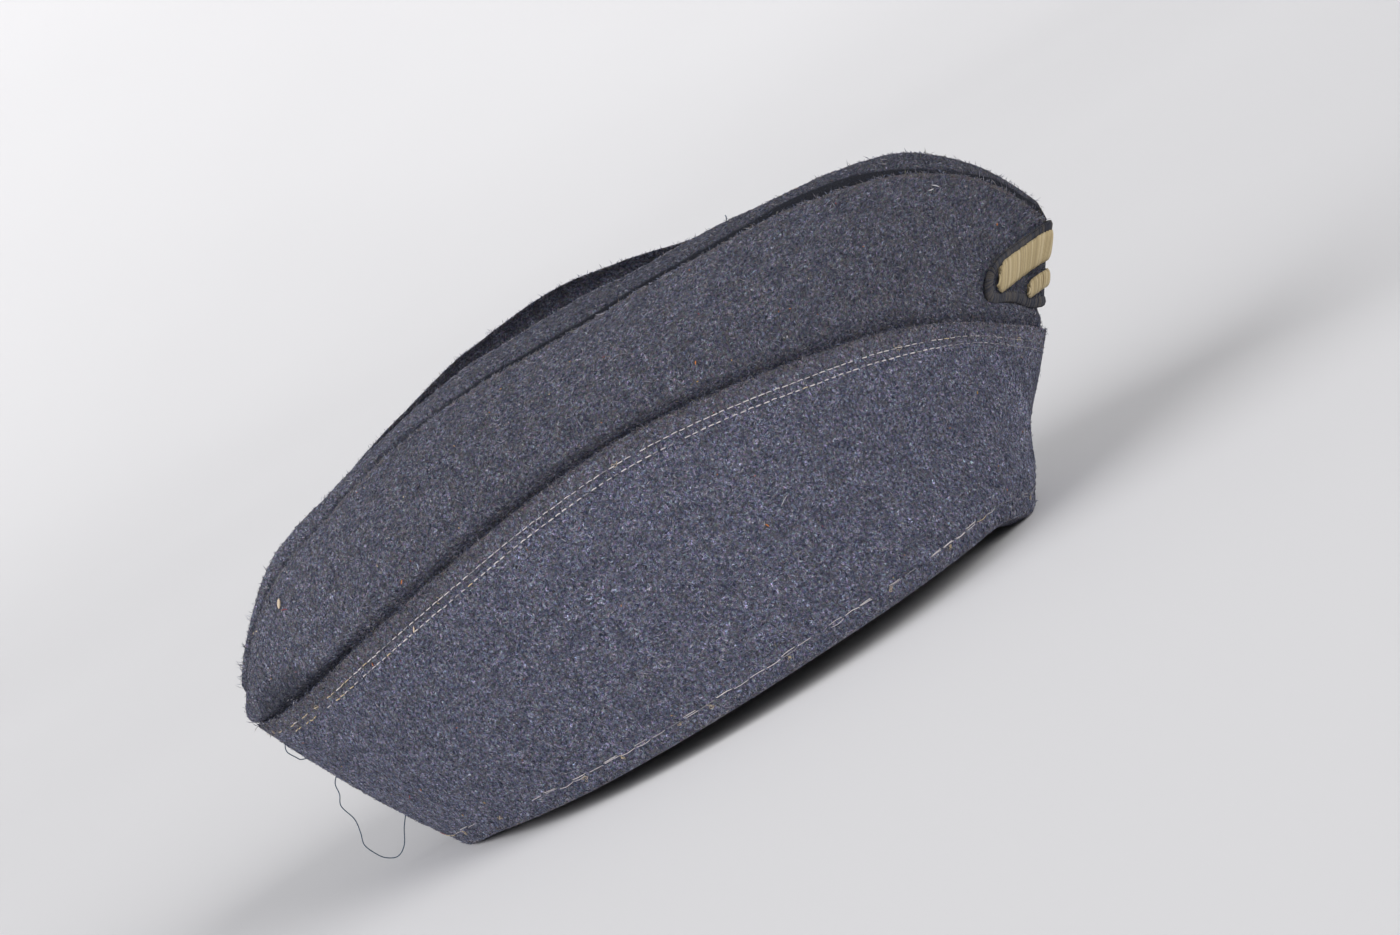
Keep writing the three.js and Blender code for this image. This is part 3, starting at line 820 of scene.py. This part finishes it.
class Front:
    """The crown's front as a sheet: distance round it from the middle, height, and distance off it."""

    def __init__(self):
        self.reaches = np.linspace(-36, 36, 289)
        self.heights = np.linspace(48, 78, 121)
        angles = np.arange(90, 30, -0.5)[:, None]
        sheet = np.empty((len(self.reaches), len(self.heights), 3))
        for side in (RIGHT, LEFT):
            walls = wall(side, angles, level_at(side, angles, self.heights[None, :]), -BADGE_GAP)
            travelled = distances(walls)
            mine = self.reaches * side >= 0
            for row in range(len(self.heights)):
                sheet[mine, row] = sample(np.abs(self.reaches[mine]), travelled[:, row], walls[:, row])
        sheet[self.reaches == 0, :, 1] = 0
        self.sheet = self.rounded(uneven(sheet))
        self.out = unit(np.cross(np.gradient(self.sheet, axis=0), np.gradient(self.sheet, axis=1)))

    def rounded(self, sheet):
        """The badge is too stiff to follow the crown's pointed front: its fold there is a soft one."""
        step = self.reaches[1] - self.reaches[0]
        soft = blurred(sheet, step, NOSE_SOFTNESS, closed=False)
        middle = len(self.reaches) // 2
        lost = sheet[middle, :, 0] - soft[middle, :, 0]
        soft[..., 0] += near(self.reaches, 0, 2.2 * NOSE_SOFTNESS)[:, None] * lost
        return soft

    def at(self, reach, height, off):
        """Points off the sheet and their outward directions. off counts from the badge's back."""
        reach, height, off = np.broadcast_arrays(*(np.asarray(x, float) for x in (reach, height, off)))
        places = []
        for value, marks in ((reach, self.reaches), (height, self.heights)):
            place = np.clip((value - marks[0]) / (marks[1] - marks[0]), 0, len(marks) - 1.001)
            places.append((place.astype(int), (place % 1)[..., None]))
        (i, s), (j, t) = places
        spot, out = (
            mix(mix(grid[i, j], grid[i + 1, j], s), mix(grid[i, j + 1], grid[i + 1, j + 1], s), t)
            for grid in (self.sheet, self.out)
        )
        out = unit(out)
        return spot + out * off[..., None], out


def badge_edge(share):
    """The badge's low and high edges at a share (-1 to 1) of its width."""
    reach = np.abs(share) * BADGE_REACH
    return curve(BADGE_OUTLINE, "low", reach), curve(BADGE_OUTLINE, "high", reach)


def padded_slab(name, front, shares, low_high, reach, off, thickness, dome, rows=26):
    """A slab on the front between two edges, thicker in its middle."""
    loops = []
    fine = np.linspace(0, 1, 40)
    for share in shares:
        low, high = low_high(share)
        swell = dome * (1 - abs(share) ** 4) * np.sin(np.pi * fine) ** 0.6
        face = front.at(share * reach, mix(low, high, fine), off + thickness + swell)[0]
        back = front.at(share * reach, mix(high, low, fine), off)[0]
        parts = [face, np.linspace(face[-1], back[0], 6), back, np.linspace(back[-1], face[0], 6)]
        loops.append(rounded_loop(parts, (rows, 4, rows // 2, 4), 0.35))
    return shell(name, RIGHT, np.array(loops), {}, (1.3, 1.1))


def badge_field(name, front):
    """The badge's backing, under its border."""
    def inside_border(share):
        low, high = badge_edge(share)
        return low + 0.45, high - 0.45

    shares = 0.985 * np.sin(np.linspace(-np.pi / 2, np.pi / 2, 90))
    return padded_slab(name, front, shares, inside_border, BADGE_REACH, 0, BADGE_THICKNESS, 0.15)


def badge_border(name, front, rng):
    """The overlocked edge: a thread wrapped over the patch's edge again and again."""
    share = np.sin(np.linspace(-np.pi / 2, np.pi / 2, 400))
    low, high = badge_edge(share)
    reach = share * (BADGE_REACH - 0.4)
    outline = np.concatenate([np.stack([reach, high], 1), np.stack([reach, low], 1)[::-1]])
    outline = np.concatenate([outline, outline[:1]])
    around = distances(outline)
    line = sample(np.arange(0, around[-1], LINE_STEP), around, outline)
    line = blurred(line, LINE_STEP, BORDER_SOFTNESS, closed=True)
    spots = np.arange(0, len(line) - 1, BORDER_PITCH / LINE_STEP)
    spots = spots + rng.uniform(-0.25, 0.25, len(spots))
    index = np.arange(len(line))
    edge = sample(spots, index, line)
    along = unit(sample(spots + 2, index, line) - edge)
    inward = np.stack([along[:, 1], -along[:, 0]], axis=1)
    inward *= np.sign(((BADGE_MIDDLE - edge) * inward).sum(axis=1, keepdims=True))
    width = BORDER_WIDTH * rng.uniform(0.86, 1.08, (len(spots), 1))
    # One wrap of the thread, from inside the border over its top to the patch's edge.
    inside = np.array((1.0, 0.86, 0.45, 0.05, -0.12, 0.0))
    raised = np.array((1.05, 1.35, 1.50, 1.20, 0.55, 0.10))
    slant = np.linspace(0.5, -0.3, len(inside))
    flat = laid_out(edge, (inward, width * inside), (along, slant))
    paths, away = front.at(flat[..., 0], flat[..., 1], raised * rng.uniform(0.93, 1.07, (len(spots), 1)))
    radii = np.full(paths.shape[:2], BORDER_RADIUS)
    return make_threads(name, paths, away, radii, DARK_THREADS, rng.integers(0, 4, len(spots)))


def bar_core(name, front, bar):
    """The padding under a bar's threads."""
    low_high = bar["low"] + CORE_INSET, bar["high"] - CORE_INSET
    shares = np.linspace(-0.96, 0.96, 60)
    sizes = (bar["reach"], BADGE_THICKNESS, BAR_THICKNESS, CORE_DOME)
    core = padded_slab(name, front, shares, lambda share: low_high, *sizes)
    tint = core.data.attributes.new("tint", "FLOAT_COLOR", "POINT")
    tint.data.foreach_set("color", np.tile(CORE_COLOUR, len(core.data.vertices)))
    return core


def satin_bar(name, front, bar, rng):
    """A bar of padded satin stitch: threads side by side over a core."""
    reach = np.arange(-bar["reach"], bar["reach"] + 0.01, SATIN_PITCH)
    reach = reach + rng.uniform(-0.05, 0.05, len(reach))
    height = bar["high"] - bar["low"]
    middle = (bar["high"] + bar["low"]) / 2
    ends = np.clip((bar["reach"] - np.abs(reach)) / (0.45 * height), 0, 1)
    half = 0.5 * height * np.sqrt(np.clip(1 - (1 - ends) ** 2, 0.12, 1))
    half = half * rng.uniform(0.96, 1.03, len(reach))
    across = np.linspace(-1, 1, 9)
    profile = np.sqrt(1 - 0.93 * np.abs(across) ** 2.6)
    off = BADGE_THICKNESS + 0.45 + (BAR_THICKNESS + 0.35) * profile
    off = off * (1 + rng.uniform(-0.02, 0.02, (len(reach), 1)))
    lean = 0.09 * height * across
    wobble = rng.normal(0, 0.04, (len(reach), 1)) * np.cos(np.pi * across / 2)
    paths, away = front.at(reach[:, None] + lean + wobble, middle + half[:, None] * across, off)
    radii = np.full(paths.shape[:2], SATIN_RADIUS)
    return make_threads(name, paths, away, radii, TAN_THREADS, rng.integers(0, 4, len(reach)))


# ---- Loose things ----

# A thread that hangs in a loop from the back seam, a short one above it, and a tuft on the ridge.
LOOSE_THREADS = {
    "long": (
        (-132, -1, 37.5), (-134.5, -1, 34.5), (-135, -1.5, 31), (-136.5, -1.5, 27.5), (-135, -2, 22),
        (-135.5, -2.5, 17.5), (-136.5, -2.5, 13.5), (-135, -2.5, 9.5), (-133, -2, 6.5), (-129.5, -2.5, 5),
        (-126, -2.5, 7), (-123, -2, 12), (-119.5, -0.5, 16.5),
    ),
    "short": (
        (-138.5, -1, 54.5), (-141, -1, 53.5), (-142, -1.5, 51), (-140.5, -1.5, 48), (-139.5, -1, 46.5),
        (-136.5, -0.5, 45.5),
    ),
    "top": ((58.5, -1, 124), (59, -1.5, 125), (59, -1, 125.5)),
}
LOOSE_RADIUS = 0.17
BLUE_THREAD = np.array([(0.065, 0.110, 0.165)])
# The flecks of other fibres that show best on the right side. The rest are scattered at random.
FLECKS = (
    # piece, its section's angle, level, length, radius, colour
    ("crown", -60, 1.78, 2.8, 0.42, "seed"),
    ("crown", -59, 1.7, 2.8, 0.12, "red"),
    ("crown", 64, 1.92, 2.2, 0.20, "pale"),
    ("crown", 63, 1.9, 1.6, 0.16, "pale"),
    ("crown", -34, 1.15, 1.3, 0.17, "orange"),
    ("crown", 17, 1.3, 1.1, 0.16, "orange"),
    ("crown", -71, 1.9, 0.8, 0.17, "seed"),
    ("crown", 78, 1.75, 0.7, 0.17, "orange"),
    ("curtain", 16, 0.5, 1.1, 0.17, "orange"),
    ("curtain", -37, 0.9, 1.7, 0.22, "seed"),
    ("curtain", -47, 0.9, 1.0, 0.14, "orange"),
    ("curtain", -61, 0.35, 0.9, 0.14, "orange"),
    ("curtain", -66, 0.35, 1.6, 0.12, "red"),
    ("curtain", -79, 0.1, 2.6, 0.11, "red"),
    ("curtain", 62, 0.65, 0.8, 0.15, "yellow"),
    ("curtain", 20, 0.55, 3.6, 0.09, "pale"),
)
RANDOM_FLECKS = 42                # more, on each piece
# A fleck's colour, and the share of the random ones that have it.
FLECK_COLOURS = {
    "orange": ((0.58, 0.21, 0.06), 0.3),
    "yellow": ((0.58, 0.36, 0.12), 0.25),
    "red": ((0.36, 0.07, 0.07), 0.1),
    "pale": ((0.55, 0.54, 0.56), 0.3),
    "seed": ((0.78, 0.64, 0.47), 0.05),
}


def make_flecks(name, part, face, side, seed):
    """The flecks on one side of a part: those of the list, shifted on the left, and random ones."""
    rng = np.random.default_rng(seed)
    kinds = list(FLECK_COLOURS)
    colours, shares = (np.array(column) for column in zip(*FLECK_COLOURS.values()))
    chosen = [row for row in FLECKS if row[0] == part]
    angle, level, length, radius = np.array([row[1:5] for row in chosen], float).T
    if side == LEFT:
        angle = angle + rng.uniform(-14, 14, len(angle))
        level = np.clip(level + rng.uniform(-0.1, 0.1, len(level)), 0.05, 1.95)
    more = RANDOM_FLECKS
    angle = np.append(angle, rng.uniform(-80, 80, more))
    level = np.append(level, rng.uniform(0.08, 0.95, more) + (1.03 if part == "crown" else 0))
    length = np.append(1.15 * length, rng.uniform(0.4, 0.9, more))
    radius = np.append(1.2 * radius, rng.uniform(0.09, 0.15, more))
    pick = np.append([kinds.index(row[5]) for row in chosen], rng.choice(len(kinds), more, p=shares))
    here = uneven(face(side, angle, level))
    along = unit(uneven(face(side, angle + 0.5, level)) - here)
    out = unit(np.cross(along, uneven(face(side, angle, level + 0.01)) - here) * -side)
    length, radius, turn = length[:, None], radius[:, None], rng.uniform(0, np.pi, (len(angle), 1))
    way = np.cos(turn) * along + np.sin(turn) * np.cross(out, along)
    places = np.linspace(-0.5, 0.5, 7)
    bend = rng.uniform(-0.35, 0.35, (len(angle), 1)) * length * (0.25 - places**2)
    paths = laid_out(here, (way, length * places), (np.cross(out, way), bend), (out, 0.12 + radius))
    radii = radius * np.sqrt(np.clip(1.08 - 4 * places**2, 0.05, 1))
    return make_threads(name, paths, np.repeat(out[:, None], len(places), axis=1), radii, colours, pick)


def loose_thread(name, knots):
    """One thread along a smooth curve through its knots."""
    table = {"knot": range(len(knots)), **dict(zip("xyz", zip(*knots)))}
    at = np.linspace(0, len(knots) - 1, 14 * len(knots))
    path = np.stack([curve(table, key, at) for key in "xyz"], axis=1)[None]
    away = np.tile((0.0, -1.0, 0.0), (1, len(at), 1))
    return make_threads(name, path, away, np.full((1, len(at)), LOOSE_RADIUS), BLUE_THREAD, np.array([0]))


# ---- Materials ----


class Graph:
    """A node material being built."""

    def __init__(self, name):
        self.material = bpy.data.materials.new(name)
        self.material.use_nodes = True
        self.tree = self.material.node_tree
        self.shader = self.tree.nodes["Principled BSDF"]

    def feed(self, socket, value):
        if isinstance(value, bpy.types.NodeSocket):
            self.tree.links.new(value, socket)
        elif value is not None:
            socket.default_value = value

    def node(self, kind, inputs=(), **settings):
        made = self.tree.nodes.new(kind)
        for key, value in settings.items():
            setattr(made, key, value)
        for key, value in dict(inputs).items():
            self.feed(made.inputs[key], value)
        return made

    def math(self, operation, a, b=None, c=None):
        made = self.node("ShaderNodeMath", operation=operation)
        for socket, value in zip(made.inputs, (a, b, c)):
            self.feed(socket, value)
        return made.outputs[0]

    def vector(self, operation, a, b=None, scale=None):
        return self.node("ShaderNodeVectorMath", {0: a, 1: b, 3: scale}, operation=operation).outputs[0]

    def noise(self, at, scale, detail=0.0, roughness=0.5, colour=False, flat=True):
        inputs = {"Vector": at, "Scale": scale, "Detail": detail, "Roughness": roughness}
        made = self.node("ShaderNodeTexNoise", inputs, noise_dimensions="2D" if flat else "3D")
        return made.outputs["Color" if colour else "Fac"]

    def ramp(self, value, start, end, low=0.0, high=1.0):
        inputs = {"Value": value, "From Min": start, "From Max": end, "To Min": low, "To Max": high}
        return self.node("ShaderNodeMapRange", inputs, interpolation_type="SMOOTHSTEP").outputs["Result"]

    def blend(self, share, a, b, mode="MIX"):
        inputs = {0: share, 6: a, 7: b}
        return self.node("ShaderNodeMix", inputs, data_type="RGBA", blend_type=mode).outputs[2]

    def grey(self, value):
        return self.node("ShaderNodeCombineXYZ", {"X": value, "Y": value, "Z": value}).outputs[0]

    def attribute(self, name, output="Fac"):
        return self.node("ShaderNodeAttribute", attribute_name=name).outputs[output]

    def finish(self, colour, roughness, height=None, distance=0.0002, strength=1.0, **settings):
        """The material with its colour and roughness, a bump of a height, and settings of its shader."""
        self.feed(self.shader.inputs["Base Color"], colour)
        self.feed(self.shader.inputs["Roughness"], roughness)
        for key, value in settings.items():
            self.feed(self.shader.inputs[key.replace("_", " ")], value)
        if height is not None:
            bump = self.node("ShaderNodeBump", {"Strength": strength, "Distance": distance, "Height": height})
            self.feed(self.shader.inputs["Normal"], bump.outputs["Normal"])
        return self.material


# The layers of fibres that show in the wool, from the lowest up.
FIBRES = (
    # direction in degrees, place, colour, how much shows
    (12, 3.1, (0.018, 0.021, 0.042, 1), 0.90),
    (74, 9.7, (0.200, 0.206, 0.280, 1), 0.70),
    (-38, 15.2, (0.048, 0.056, 0.115, 1), 0.85),
    (118, 21.9, (0.300, 0.300, 0.380, 1), 0.65),
    (48, 27.3, (0.018, 0.021, 0.042, 1), 0.80),
    (-8, 33.8, (0.430, 0.405, 0.440, 1), 0.50),
    (-66, 39.1, (0.480, 0.495, 0.600, 1), 0.55),
)
FIBRE_SIZE = (2.1, 0.25)          # length and width
GRAINS = ((24, 3), (101, 29))     # direction and place of each layer of fine grain
GRAIN_SIZE = (0.62, 0.15)
WOOL_BASE = (0.085, 0.092, 0.125, 1)
# Where the cloth is worn: attribute, size of its patches, where they begin and end, strength, colour.
WEAR = (
    ("ridge", 0.25, 0.30, 0.62, 0.75, (0.280, 0.240, 0.215, 1)),
    ("seam", 0.9, 0.35, 0.60, 0.55, (0.260, 0.235, 0.250, 1)),
    ("band", 0.55, 0.28, 0.66, 0.75, (0.155, 0.138, 0.128, 1)),
)


def wool_material(name, shade, warmth, painted_shading=True):
    """Felted melange wool. shade multiplies its colour; warmth is its share of brownish fibres. Its colour
    also takes painted shade from each piece's crease attribute and, when asked, painted light and shade by
    section from another attribute.
    """
    g = Graph(name)
    at = g.vector("SCALE", g.node("ShaderNodeUVMap", uv_map="cloth").outputs["UV"], scale=1 / MM)
    drift = g.vector("SUBTRACT", g.noise(at, 0.42, 1, colour=True), (0.5, 0.5, 0.5))
    bent = g.vector("ADD", at, g.vector("SCALE", drift, scale=4.2))

    def moved(x, y):
        return g.vector("ADD", at, (x, y, 0))

    def laid(turn, place, size):
        """The cloth's coordinates stretched along fibres that lie in one direction."""
        inputs = {"Vector": bent, "Location": (place, -place, 0), "Scale": (*size, 1)}
        inputs["Rotation"] = (0, 0, math.radians(turn))
        return g.node("ShaderNodeMapping", inputs, vector_type="TEXTURE").outputs[0]

    colour, height = WOOL_BASE, 0.0
    for turn, place, tint, shows in FIBRES:
        lines = g.math("SUBTRACT", g.noise(laid(turn, place, FIBRE_SIZE), 1.0), 0.5)
        line = g.ramp(g.math("ABSOLUTE", lines), 0.13, 0.03)
        fibre = g.math("MULTIPLY", line, g.ramp(g.noise(moved(place, place), 0.85), 0.38, 0.54))
        colour = g.blend(g.math("MULTIPLY", fibre, shows), colour, tint)
        height = g.math("MAXIMUM", height, g.math("MULTIPLY", fibre, 0.35 + shows))
    dark = g.ramp(g.noise(at, 0.20, 3), 0.40, 0.66, 0.0, 0.42)
    colour = g.blend(dark, colour, (0.040, 0.046, 0.075, 1))
    warm = g.ramp(g.noise(moved(51, 17), 0.24, 3), 0.45, 0.68, 0.0, warmth)
    colour = g.blend(warm, colour, (0.165, 0.152, 0.138, 1))
    for where, scale, start, end, strength, tint in WEAR:
        worn = g.math("MULTIPLY", g.attribute(where), g.ramp(g.noise(at, scale, 2), start, end))
        colour = g.blend(g.math("MULTIPLY", worn, strength), colour, tint)
    for turn, place in GRAINS:
        grain = g.ramp(g.noise(laid(turn, place, GRAIN_SIZE), 1.0, 2, 0.6), 0.30, 0.70, 0.39, 1.66)
        colour = g.blend(1.0, colour, g.grey(grain), "MULTIPLY")
    mottle = g.vector("SCALE", g.noise(moved(61, 5), 1.1, 1, colour=True), scale=0.7)
    colour = g.blend(1.0, colour, g.vector("ADD", mottle, (0.65, 0.65, 0.65)), "MULTIPLY")
    # Painted shade: the crease over the curtain's edge, the slit behind the right ridge, the wedge at the
    # back and the seam's roll.
    colour = g.blend(g.math("MULTIPLY", g.attribute("crease"), 0.82), colour, (0.017, 0.0185, 0.027, 1))
    colour = g.blend(g.math("MULTIPLY", g.attribute("inside"), 0.35), colour, (0.05, 0.05, 0.065, 1))
    colour = g.blend(1.0, colour, (*shade, 1), "MULTIPLY")
    # Painted light and shade by section: parts of each piece lighter or darker as if lit so, and on the
    # curtain a painted highlight and painted shade along the pressed line.
    if painted_shading:
        colour = g.blend(1.0, colour, g.grey(g.attribute("wave_fade_and_painted_light")), "MULTIPLY")
    nap = g.noise(moved(7, 3), 4.0, 2, 0.7)
    height = g.math("MULTIPLY_ADD", nap, 0.65, height)
    sheen = {"Sheen_Weight": 0.08, "Sheen_Roughness": 0.55, "Sheen_Tint": (0.72, 0.76, 0.9, 1)}
    roughness = g.ramp(height, 0.0, 1.2, 0.98, 0.82)
    return g.finish(colour, roughness, height, 0.00045, 1.0, Specular_IOR_Level=0.15, **sheen)


def strand_material(name, roughness, fleck, bump):
    """Threads and loose fibres, coloured by their own attribute, with a fine twist."""
    g = Graph(name)
    place = g.vector("SCALE", g.node("ShaderNodeTexCoord").outputs["Object"], scale=1 / MM)
    twist = g.noise(place, 3.0, 2, 0.6, flat=False)
    colour = g.blend(1.0, g.attribute("tint", "Color"), g.blend(twist, fleck, (1, 1, 1, 1)), "MULTIPLY")
    roughness = g.ramp(twist, 0.3, 0.7, roughness, roughness - 0.15)
    return g.finish(colour, roughness, twist, bump, 0.6, Specular_IOR_Level=0.25, Sheen_Weight=0.1)


crown_wool = wool_material("crown_wool", (0.88, 0.88, 0.93), 0.34)
curtain_wool = wool_material("curtain_wool", (1.07, 1.085, 1.20), 0.26)
fibre_wool = strand_material("fibre_wool", 0.95, (0.8, 0.8, 0.85, 1), 0.00002)
thread = strand_material("thread", 0.75, (0.72, 0.72, 0.75, 1), 0.00005)
badge_wool = wool_material("badge_wool", (0.42, 0.42, 0.44), 0.2, painted_shading=False)

# ---- Camera, lights and stage ----

CAMERA_ELEVATION = math.radians(8)
CAMERA_DISTANCE = 1.1
CAMERA_TARGET = Vector((0.013057 + shift_x * MM, 0, 0.061889))  # what the photo's middle shows
CAMERA_ROLL = math.radians(30.46)  # the cap's rim slopes this much in the picture
SENSOR_WIDTH = 36.0
METRES_PER_PIXEL = 0.00031        # of the cap, in a picture IMAGE_WIDTH pixels wide
IMAGE_WIDTH = 1400
FLOOR_RADII = (0.5, 1.2, 1.5)     # in metres; the last is where the floor begins to curve up
FLOOR_CURVE = 2.6
FLOOR_SIDES = 96


def place_camera():
    forward = Vector((0, math.cos(CAMERA_ELEVATION), -math.sin(CAMERA_ELEVATION)))
    across = Vector((1, 0, 0))
    above = across.cross(forward)
    right = across * math.cos(CAMERA_ROLL) - above * math.sin(CAMERA_ROLL)
    up = across * math.sin(CAMERA_ROLL) + above * math.cos(CAMERA_ROLL)
    camera = bpy.data.objects.new("camera", bpy.data.cameras.new("camera"))
    turn = Matrix((right, up, -forward)).transposed().to_4x4()
    camera.matrix_world = Matrix.Translation(CAMERA_TARGET - forward * CAMERA_DISTANCE) @ turn
    camera.data.sensor_width = SENSOR_WIDTH
    camera.data.sensor_fit = "HORIZONTAL"
    camera.data.lens = SENSOR_WIDTH * CAMERA_DISTANCE / (METRES_PER_PIXEL * IMAGE_WIDTH)
    camera.data.clip_start = 0.05
    camera.data.clip_end = 50
    bpy.context.scene.collection.objects.link(camera)
    bpy.context.scene.camera = camera


def soft_light(name, source, strength, spread, colour):
    """A broad even light from far off. source points to it, and spread is how wide it looks."""
    data = bpy.data.lights.new(name, "SUN")
    data.energy = strength
    data.angle = math.radians(spread)
    data.color = colour
    lamp = bpy.data.objects.new(name, data)
    lamp.rotation_euler = (-Vector(source)).to_track_quat("-Z", "Y").to_euler()
    lamp.location = Vector(source)
    bpy.context.scene.collection.objects.link(lamp)


def stage_floor():
    """A pale round floor that curves up into a wall far behind, all round."""
    sides = FLOOR_SIDES
    profile = [(radius, 0.0) for radius in FLOOR_RADII]
    for turn in np.linspace(0, math.pi / 4, 13)[1:]:
        profile.append((FLOOR_RADII[-1] + FLOOR_CURVE * math.sin(turn), FLOOR_CURVE * (1 - math.cos(turn))))
    around = 2 * np.pi * np.arange(sides) / sides
    points = [(r * math.cos(turn), r * math.sin(turn), z) for r, z in profile for turn in around]
    points.append((0, 0, 0))
    middle = len(points) - 1
    faces = [(k, (k + 1) % sides, middle) for k in range(sides)]
    for first in range(0, middle - sides, sides):
        for k in range(sides):
            a, b = first + k, first + (k + 1) % sides
            faces.append((a + sides, b + sides, b, a))
    mesh = bpy.data.meshes.new("floor")
    mesh.from_pydata(points, [], faces)
    mesh.polygons.foreach_set("use_smooth", [True] * len(faces))
    floor = bpy.data.objects.new("floor", mesh)
    bpy.context.scene.collection.objects.link(floor)
    g = Graph("pale_paper")
    place = g.node("ShaderNodeTexCoord").outputs["Object"]
    shade = g.ramp(g.noise(place, 1.3, 2, flat=False), 0.3, 0.7)
    colour = g.blend(shade, (0.725, 0.72, 0.73, 1), (0.755, 0.75, 0.76, 1))
    floor.data.materials.append(g.finish(colour, 0.9))


def light_scene():
    world = bpy.data.worlds.new("studio")
    world.use_nodes = True
    background = world.node_tree.nodes["Background"].inputs
    background["Color"].default_value = (0.96, 0.97, 1.0, 1)
    background["Strength"].default_value = 0.34
    bpy.context.scene.world = world
    soft_light("left", (-0.86, -0.38, 0.48), 2.45, 50, (0.99, 0.99, 1.0))
    soft_light("right", (0.86, -0.50, 0.40), 2.5, 50, (1.0, 0.99, 0.98))
    bpy.context.scene.view_settings.view_transform = "Standard"


# ---- Assembly ----


def add(piece, material, slot, *nodes):
    piece.data.materials.append(material)
    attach(piece, "root")
    if nodes:
        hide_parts(*nodes)


def add_fuzz(part, slot, loops, side, groups):
    for label, rows, weights, count, seed, *shares in groups:
        fuzz = make_fuzz(f"{part}_{label}fibres", loops, side, rows, weights, count, seed + side, *shares)
        add(fuzz, fibre_wool, slot)


def add_crown(label, side):
    name = f"crown_{label}"
    loops = section_loops(crown_section, side, CROWN_COLUMNS, CROWN_COUNTS, CROWN_ROUNDING)
    marks = part_rows(CROWN_COUNTS)
    shades, bare = crown_shades(side, loops, marks)
    add(shell(f"{name}_cloth", side, loops, shades, (0.31 * side, 0.17)), crown_wool, "crown_wool", name)
    row = np.arange(loops.shape[1])
    even = np.ones(loops.shape[:2])
    crease, ridge, seam = marks["crease"], marks["fold"], marks["seam"]
    outside = (crease, marks["under"])
    grown = (1 - bare) * (1 + 2.0 * near(row, seam, 2.5) + 1.0 * near(row, ridge, 2.0))
    add_fuzz(name, "crown_wool", loops, side, (
        # kind, rows, where they grow, how many, seed, shares that stand, are dark and are light
        ("", outside, grown, 15500, 11),
        # All of the dark colours, where the slit and the wedge are: painted shade.
        ("shade_", outside, bare, 1500, 111, 0.1, 1.0),
        # Loose fibres in the crease, half of them in the dark colours as painted shade.
        ("crease_", (crease + 3, crease + 14), even, 2200, 71, 0.45, 0.5),
        ("ridge_", (ridge - 2, ridge + 1), even, 1500, 91, 0.10, 0.0, 0.75),
        ("seam_", (seam - 2, seam + 1), even, 1800, 91, 0.10, 0.0, 0.75),
    ))


def add_curtain(label, side):
    name = f"curtain_{label}"
    loops = section_loops(curtain_section, side, CURTAIN_COLUMNS, CURTAIN_COUNTS, CURTAIN_ROUNDING)
    marks = part_rows(CURTAIN_COUNTS)
    shades, bare = curtain_shades(side, loops, marks)
    half = shell(f"{name}_cloth", side, loops, shades, (0.83 * side, 0.52))
    add(half, curtain_wool, "curtain_wool", name)
    row = np.arange(loops.shape[1])
    even = np.ones(loops.shape[:2])
    lip, back = marks["lip"], marks["back"]
    grown = (1 - bare) * (1 + 1.5 * near(row, lip, 2.5) + 1.5 * near(row, 0, 2.0))
    add_fuzz(name, "curtain_wool", loops, side, (
        ("", (0, back), grown, 20500, 21),
        ("lip_", (lip - 3, back), even, 2600, 81, 0.45, 0.35),
        ("hem_", (0, 2), even, 1800, 101, 0.3, 0.0, 0.4),
    ))
    add(make_stitches(f"{name}_stitches", side, 31 + side), thread, "curtain_wool")


def add_flecks(label, side):
    for part, face, seed in (("crown", crown_face, 41), ("curtain", curtain_face, 51)):
        flecks = make_flecks(f"{part}_{label}_flecks", part, face, side, seed + side)
        add(flecks, thread, f"{part}_wool")


def add_badge():
    front = Front()
    rng = np.random.default_rng(61)
    add(badge_field("badge_field", front), badge_wool, "badge_cloth", "badge_patch")
    add(badge_border("badge_border", front, rng), thread, "badge_cloth")
    for label, bar in BARS.items():
        name = f"badge_bar_{label}"
        add(bar_core(f"{name}_core", front, bar), thread, "badge_thread", name)
        add(satin_bar(f"{name}_threads", front, bar, rng), thread, "badge_thread")


place_camera()
stage_floor()
light_scene()
for label, side in (("right", RIGHT), ("left", LEFT)):
    add_crown(label, side)
    add_curtain(label, side)
    add_flecks(label, side)
for label, knots in LOOSE_THREADS.items():
    add(loose_thread(f"loose_thread_{label}", knots), thread, "curtain_wool")
add_badge()
